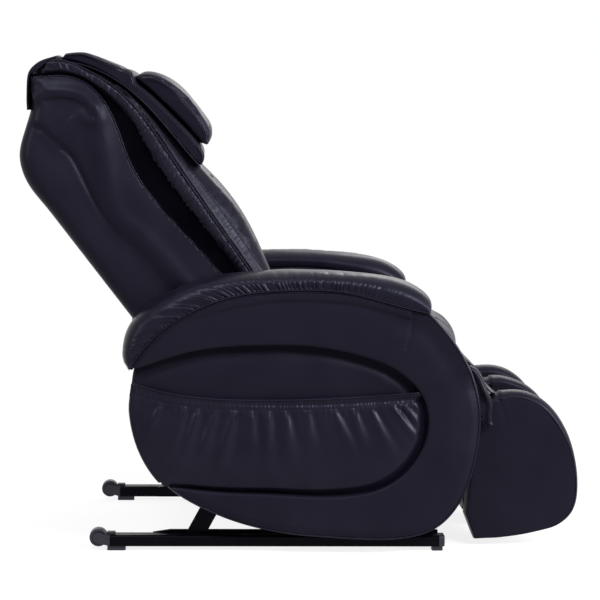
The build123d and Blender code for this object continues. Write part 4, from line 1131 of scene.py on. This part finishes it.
def rear_flap():
    """Rear part of the head cover, hanging over the shell's top."""
    node = "head_flap_rear"
    low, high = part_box(node)
    loop = node_loop(node, 1, 2.5 * MM)
    piece = loft(node + "_cover", loop, low.y, high.y, 2 * MM, spacing=5 * MM)
    push(piece, lambda points, normals: 1.0 * MM * waves(points, 0.06, 101))
    settle(piece, GATHERED, "backrest", (node,))


def seat_cushion():
    """Seat cushion: middle pad between two bolsters, with a cross seam behind its front roll."""
    node = "seat_cushion"
    middle = 0.12           # half the width of the middle pad
    low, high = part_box(node)
    loop = node_loop(node, 1)
    piece = loft(node + "_pad", loop, low.y, high.y, 18 * MM, facing((0, 1), (1, 0.3)), run=50 * MM)
    for vertex in piece.data.vertices:
        x, y, _ = vertex.co
        vertex.co.x -= 0.11 * abs(y) * float(ramp(x, 0.24, 0.40))
    inflate(piece, 8 * MM, 6 * MM)

    def relief(points, normals):
        top = ramp(normals[:, 2], 0.1, 0.6)
        front = ramp(normals[:, 0], 0.2, 0.7)
        shown = np.maximum(top, front)
        amount = bolster_seams(points, middle) * shown
        amount -= 5 * MM * groove(points[:, 0] - 0.285, 5 * MM) * top * (np.abs(points[:, 1]) < middle)
        amount += 1.0 * MM * waves(points, 0.09, 111) * shown - 1.5 * MM * shown
        return amount

    push(piece, relief)
    settle(piece, LEATHER, "base", (node,), fill=0.75)


APRON = smooth_curve(mm((394, 431), (405, 424), (413, 414), (419, 405), (424, 395), (430, 380), (439, 362),
                        (445, 350), (448, 338), (447, 324), (446, 312), (448, 301), (450, 291)))
BRIDGE = smooth_curve(mm((396, 430), (408, 421), (419, 407), (427, 392), (434, 377), (444, 365), (456, 361)))
APRON_WIDTH = 0.512     # a little wider than the seat
APRON_CUT = (APRON_WIDTH, 0.10)


def apron():
    """Leather that closes the gap over the footrest's hinge, with a hanging side flap at each end."""
    thickness = 4 * MM
    crossing = ("base", "footrest", (0.404, 0, 0.424), (0.446, 0, 0.362))
    upper, lower = beside(BRIDGE, thickness / 2, -thickness / 2)
    loop = resample(np.vstack((upper, lower[::-1])), 3 * MM, closed=True)
    bridge = loft("seat_apron", loop, -APRON_WIDTH / 2, APRON_WIDTH / 2, thickness * 0.3, spacing=5 * MM)

    def puckered(points, normals):
        along = nearest(points[:, ::2], BRIDGE)[1]
        puckers = (pleats(points[:, 1], 24 * MM, 151) - 0.5) * np.sin(pi * along / along.max())
        return 1.2 * MM * (puckers + 0.5 * waves(points, 0.05, 152))

    push(bridge, puckered)
    settle(bridge, LEATHER, crossing, cut=(APRON_CUT, None, "stretched", "calf_center_ridge"))
    behind = mm((441, 288), (432, 287), (418, 306), (404, 350), (392, 400), (388, 428))
    flap = resample(np.vstack((APRON, behind)), 3 * MM, closed=True)

    def height(points):
        distance = nearest(points, APRON)[0]
        fold = 3.5 * MM * groove(distance - 9 * MM, 7 * MM) - 3 * MM * (1 - ramp(distance, 0, 7 * MM))
        hem = 1.5 * MM * groove(points[:, 1] - 0.2935, 3 * MM) - 2.5 * MM * groove(points[:, 1] - 0.3, 3 * MM)
        return fold + hem + 1.0 * MM * waves(points, 0.05, 161)

    piece = slab("right_apron_flap", flap, -0.292, -0.268, height, 2.5 * MM, spacing=3 * MM)
    pair(piece, GATHERED, "base", fill=0.3)


# ---------------------------------------------------------------- calf rest
def calf_piece(node, rise, run, seed, seams=()):
    """Padded part of the calf rest, crowned across its ridge, with seams across the top."""
    low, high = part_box(node)
    loop = node_loop(node, 1)

    def weight(outline, normal):
        top = ramp(normal @ np.array((0.25, 0.97)), 0.1, 0.8)
        ahead = ramp(normal @ np.array((1.0, 0.0)), 0.2, 0.7)
        return smoothed(np.maximum(top, 0.55 * ahead) + 0.12 * (outline[:, 0] < 0.45) + 0.05, 11)

    piece = loft(node + "_pad", loop, low.y, high.y, rise, weight, spacing=4.5 * MM, run=run)

    def relief(points, normals):
        x, z = points[:, 0], points[:, 2]
        top = ramp(z, 0.24, 0.30) * ramp(normals[:, 2], -0.3, 0.3)
        amount = 0.5 * MM * waves(points, 0.10, seed)
        for place in seams:
            line = x + 0.3 * (z - 0.355) - place
            amount -= 3.0 * MM * groove(line, 3 * MM) * top
            amount += 1.2 * MM * groove(line - 8 * MM, 5 * MM) * top
            amount += 1.2 * MM * (pleats(points[:, 1], 12 * MM, seed + 1) - 0.5) * top * groove(line, 14 * MM)
        return amount

    push(piece, relief)
    place_it = pair if node.startswith("right") else settle
    place_it(piece, LEATHER, "footrest", (node,), fill=0.7)
    return weight


def calf_rest():
    """Side walls with piped edges, centre ridge and the pad behind the calves."""
    node = "right_calf_wall"
    outer, _ = span(node)
    weight = calf_piece(node, 17 * MM, 58 * MM, 121, (0.464,))
    loop = node_loop(node, -1)
    keep = (loop[:, 0] > 0.455) & (normals_of(loop) @ np.array((1.0, 0.9)) > -0.2)
    line = marked_run(inset(loop, 13 * MM, weight), keep)
    path = side_points(resample(line, 4 * MM), outer + 0.2 * MM)
    pair(tube(node + "_piping", path, 1.5 * MM), PIPING, "footrest")
    calf_piece("calf_center_ridge", 13 * MM, 31 * MM, 131, (0.473,))
    calf_piece("footrest_back_pad", 4 * MM, 8 * MM, 141)


# ---------------------------------------------------------------- stage, light and camera
def area_lamp(name, place, size, watts):
    """Soft box that faces the chair's middle."""
    lamp = bpy.data.lights.new(name, "AREA")
    lamp.shape = "RECTANGLE"
    lamp.size, lamp.size_y = size
    lamp.energy = watts
    holder = in_scene(name, lamp)
    holder.location = place
    holder.rotation_euler = (Vector(CHAIR_MIDDLE) - Vector(place)).to_track_quat("-Z", "Y").to_euler()


def seen_directly(tree):
    """1 for the rays that show the background itself: camera, glossy and transmission rays."""
    path = tree.nodes.new("ShaderNodeLightPath")
    shown = path.outputs["Is Camera Ray"]
    for ray in ("Is Glossy Ray", "Is Transmission Ray"):
        most = tree.nodes.new("ShaderNodeMath")
        most.operation = "MAXIMUM"
        wire(shown, most.inputs[0])
        wire(path.outputs[ray], most.inputs[1])
        shown = most.outputs[0]
    return shown


def studio():
    """White world, pale floor that keeps the shadow, and soft boxes."""
    world = bpy.data.worlds.new("studio")
    bpy.context.scene.world = world
    world.use_nodes = True
    tree = world.node_tree
    light = tree.nodes["Background"]
    dial(light, {"Color": (0.92, 0.93, 1.0, 1), "Strength": 0.20})
    white = tree.nodes.new("ShaderNodeBackground")
    dial(white, {"Color": (1, 1, 1, 1), "Strength": 1.0})
    mix = tree.nodes.new("ShaderNodeMixShader")
    wire(seen_directly(tree), mix.inputs["Fac"])
    wire(light.outputs[0], mix.inputs[1])
    wire(white.outputs[0], mix.inputs[2])
    wire(mix.outputs[0], tree.nodes["World Output"].inputs["Surface"])

    bpy.ops.mesh.primitive_plane_add(size=16, location=(0, 0, -0.0005))
    floor = bpy.context.object
    floor.name = "floor"
    material = bpy.data.materials.new("floor_white")
    material.use_nodes = True
    tree = material.node_tree
    shader = tree.nodes["Principled BSDF"]
    dial(shader, {"Base Color": (0.26, 0.26, 0.26, 1), "Roughness": 0.9, "Specular IOR Level": 0.1,
                  "Emission Color": (1, 1, 1, 1)})
    shown = tree.nodes.new("ShaderNodeMapRange")
    wire(seen_directly(tree), shown.inputs["Value"])
    dial(shown, {"To Min": 0.40, "To Max": 0.84})
    wire(shown.outputs["Result"], shader.inputs["Emission Strength"])
    clear = tree.nodes.new("ShaderNodeBsdfTransparent")
    place = tree.nodes.new("ShaderNodeTexCoord")
    reach = tree.nodes.new("ShaderNodeVectorMath")
    reach.operation = "LENGTH"
    wire(place.outputs["Object"], reach.inputs[0])
    fade = spread(tree, reach.outputs["Value"], 0.0, 1.0, 0.9, 2.2)
    mix = tree.nodes.new("ShaderNodeMixShader")
    wire(fade, mix.inputs["Fac"])
    wire(shader.outputs[0], mix.inputs[1])
    wire(clear.outputs[0], mix.inputs[2])
    wire(mix.outputs[0], tree.nodes["Material Output"].inputs["Surface"])
    floor.data.materials.append(material)

    area_lamp("overhead", (0.2, 0.3, 3.3), (2.0, 2.4), 10)
    area_lamp("key_left", (-1.1, -2.4, 3.0), (1.0, 0.6), 48)
    area_lamp("key_right", (1.9, -3.0, 2.6), (0.7, 0.7), 100)
    area_lamp("rear", (-3.4, -2.2, 2.0), (1.0, 1.4), 30)
    area_lamp("front", (3.6, -1.6, 1.9), (1.2, 1.6), 165)
    area_lamp("far_side", (1.4, 3.0, 2.4), (2.0, 1.4), 30)


def camera():
    """Camera at the photograph's viewing angle."""
    data = bpy.data.cameras.new("camera")
    data.lens = 128.1
    data.sensor_width = 36.0
    holder = in_scene("camera", data)
    forward = Vector((0.04505072, 0.99422307, -0.09742135))
    upward = Vector((-0.00610241, 0.09779243, 0.99518812))
    right = forward.cross(upward).normalized()
    upward = right.cross(forward)
    turn = Matrix((right, upward, -forward)).transposed().to_4x4()
    turn.translation = (-0.2298, -5.2, 1.06368)
    holder.matrix_world = turn
    bpy.context.scene.camera = holder


dress_nodes()
side_panel()
side_pocket()
armrest()
inner_wall()
gusset()
backrest_shell()
back_cushion()
head_pad()
pillow()
rear_flap()
seat_cushion()
apron()
calf_rest()
studio()
camera()
bpy.context.scene.view_settings.view_transform = "Standard"
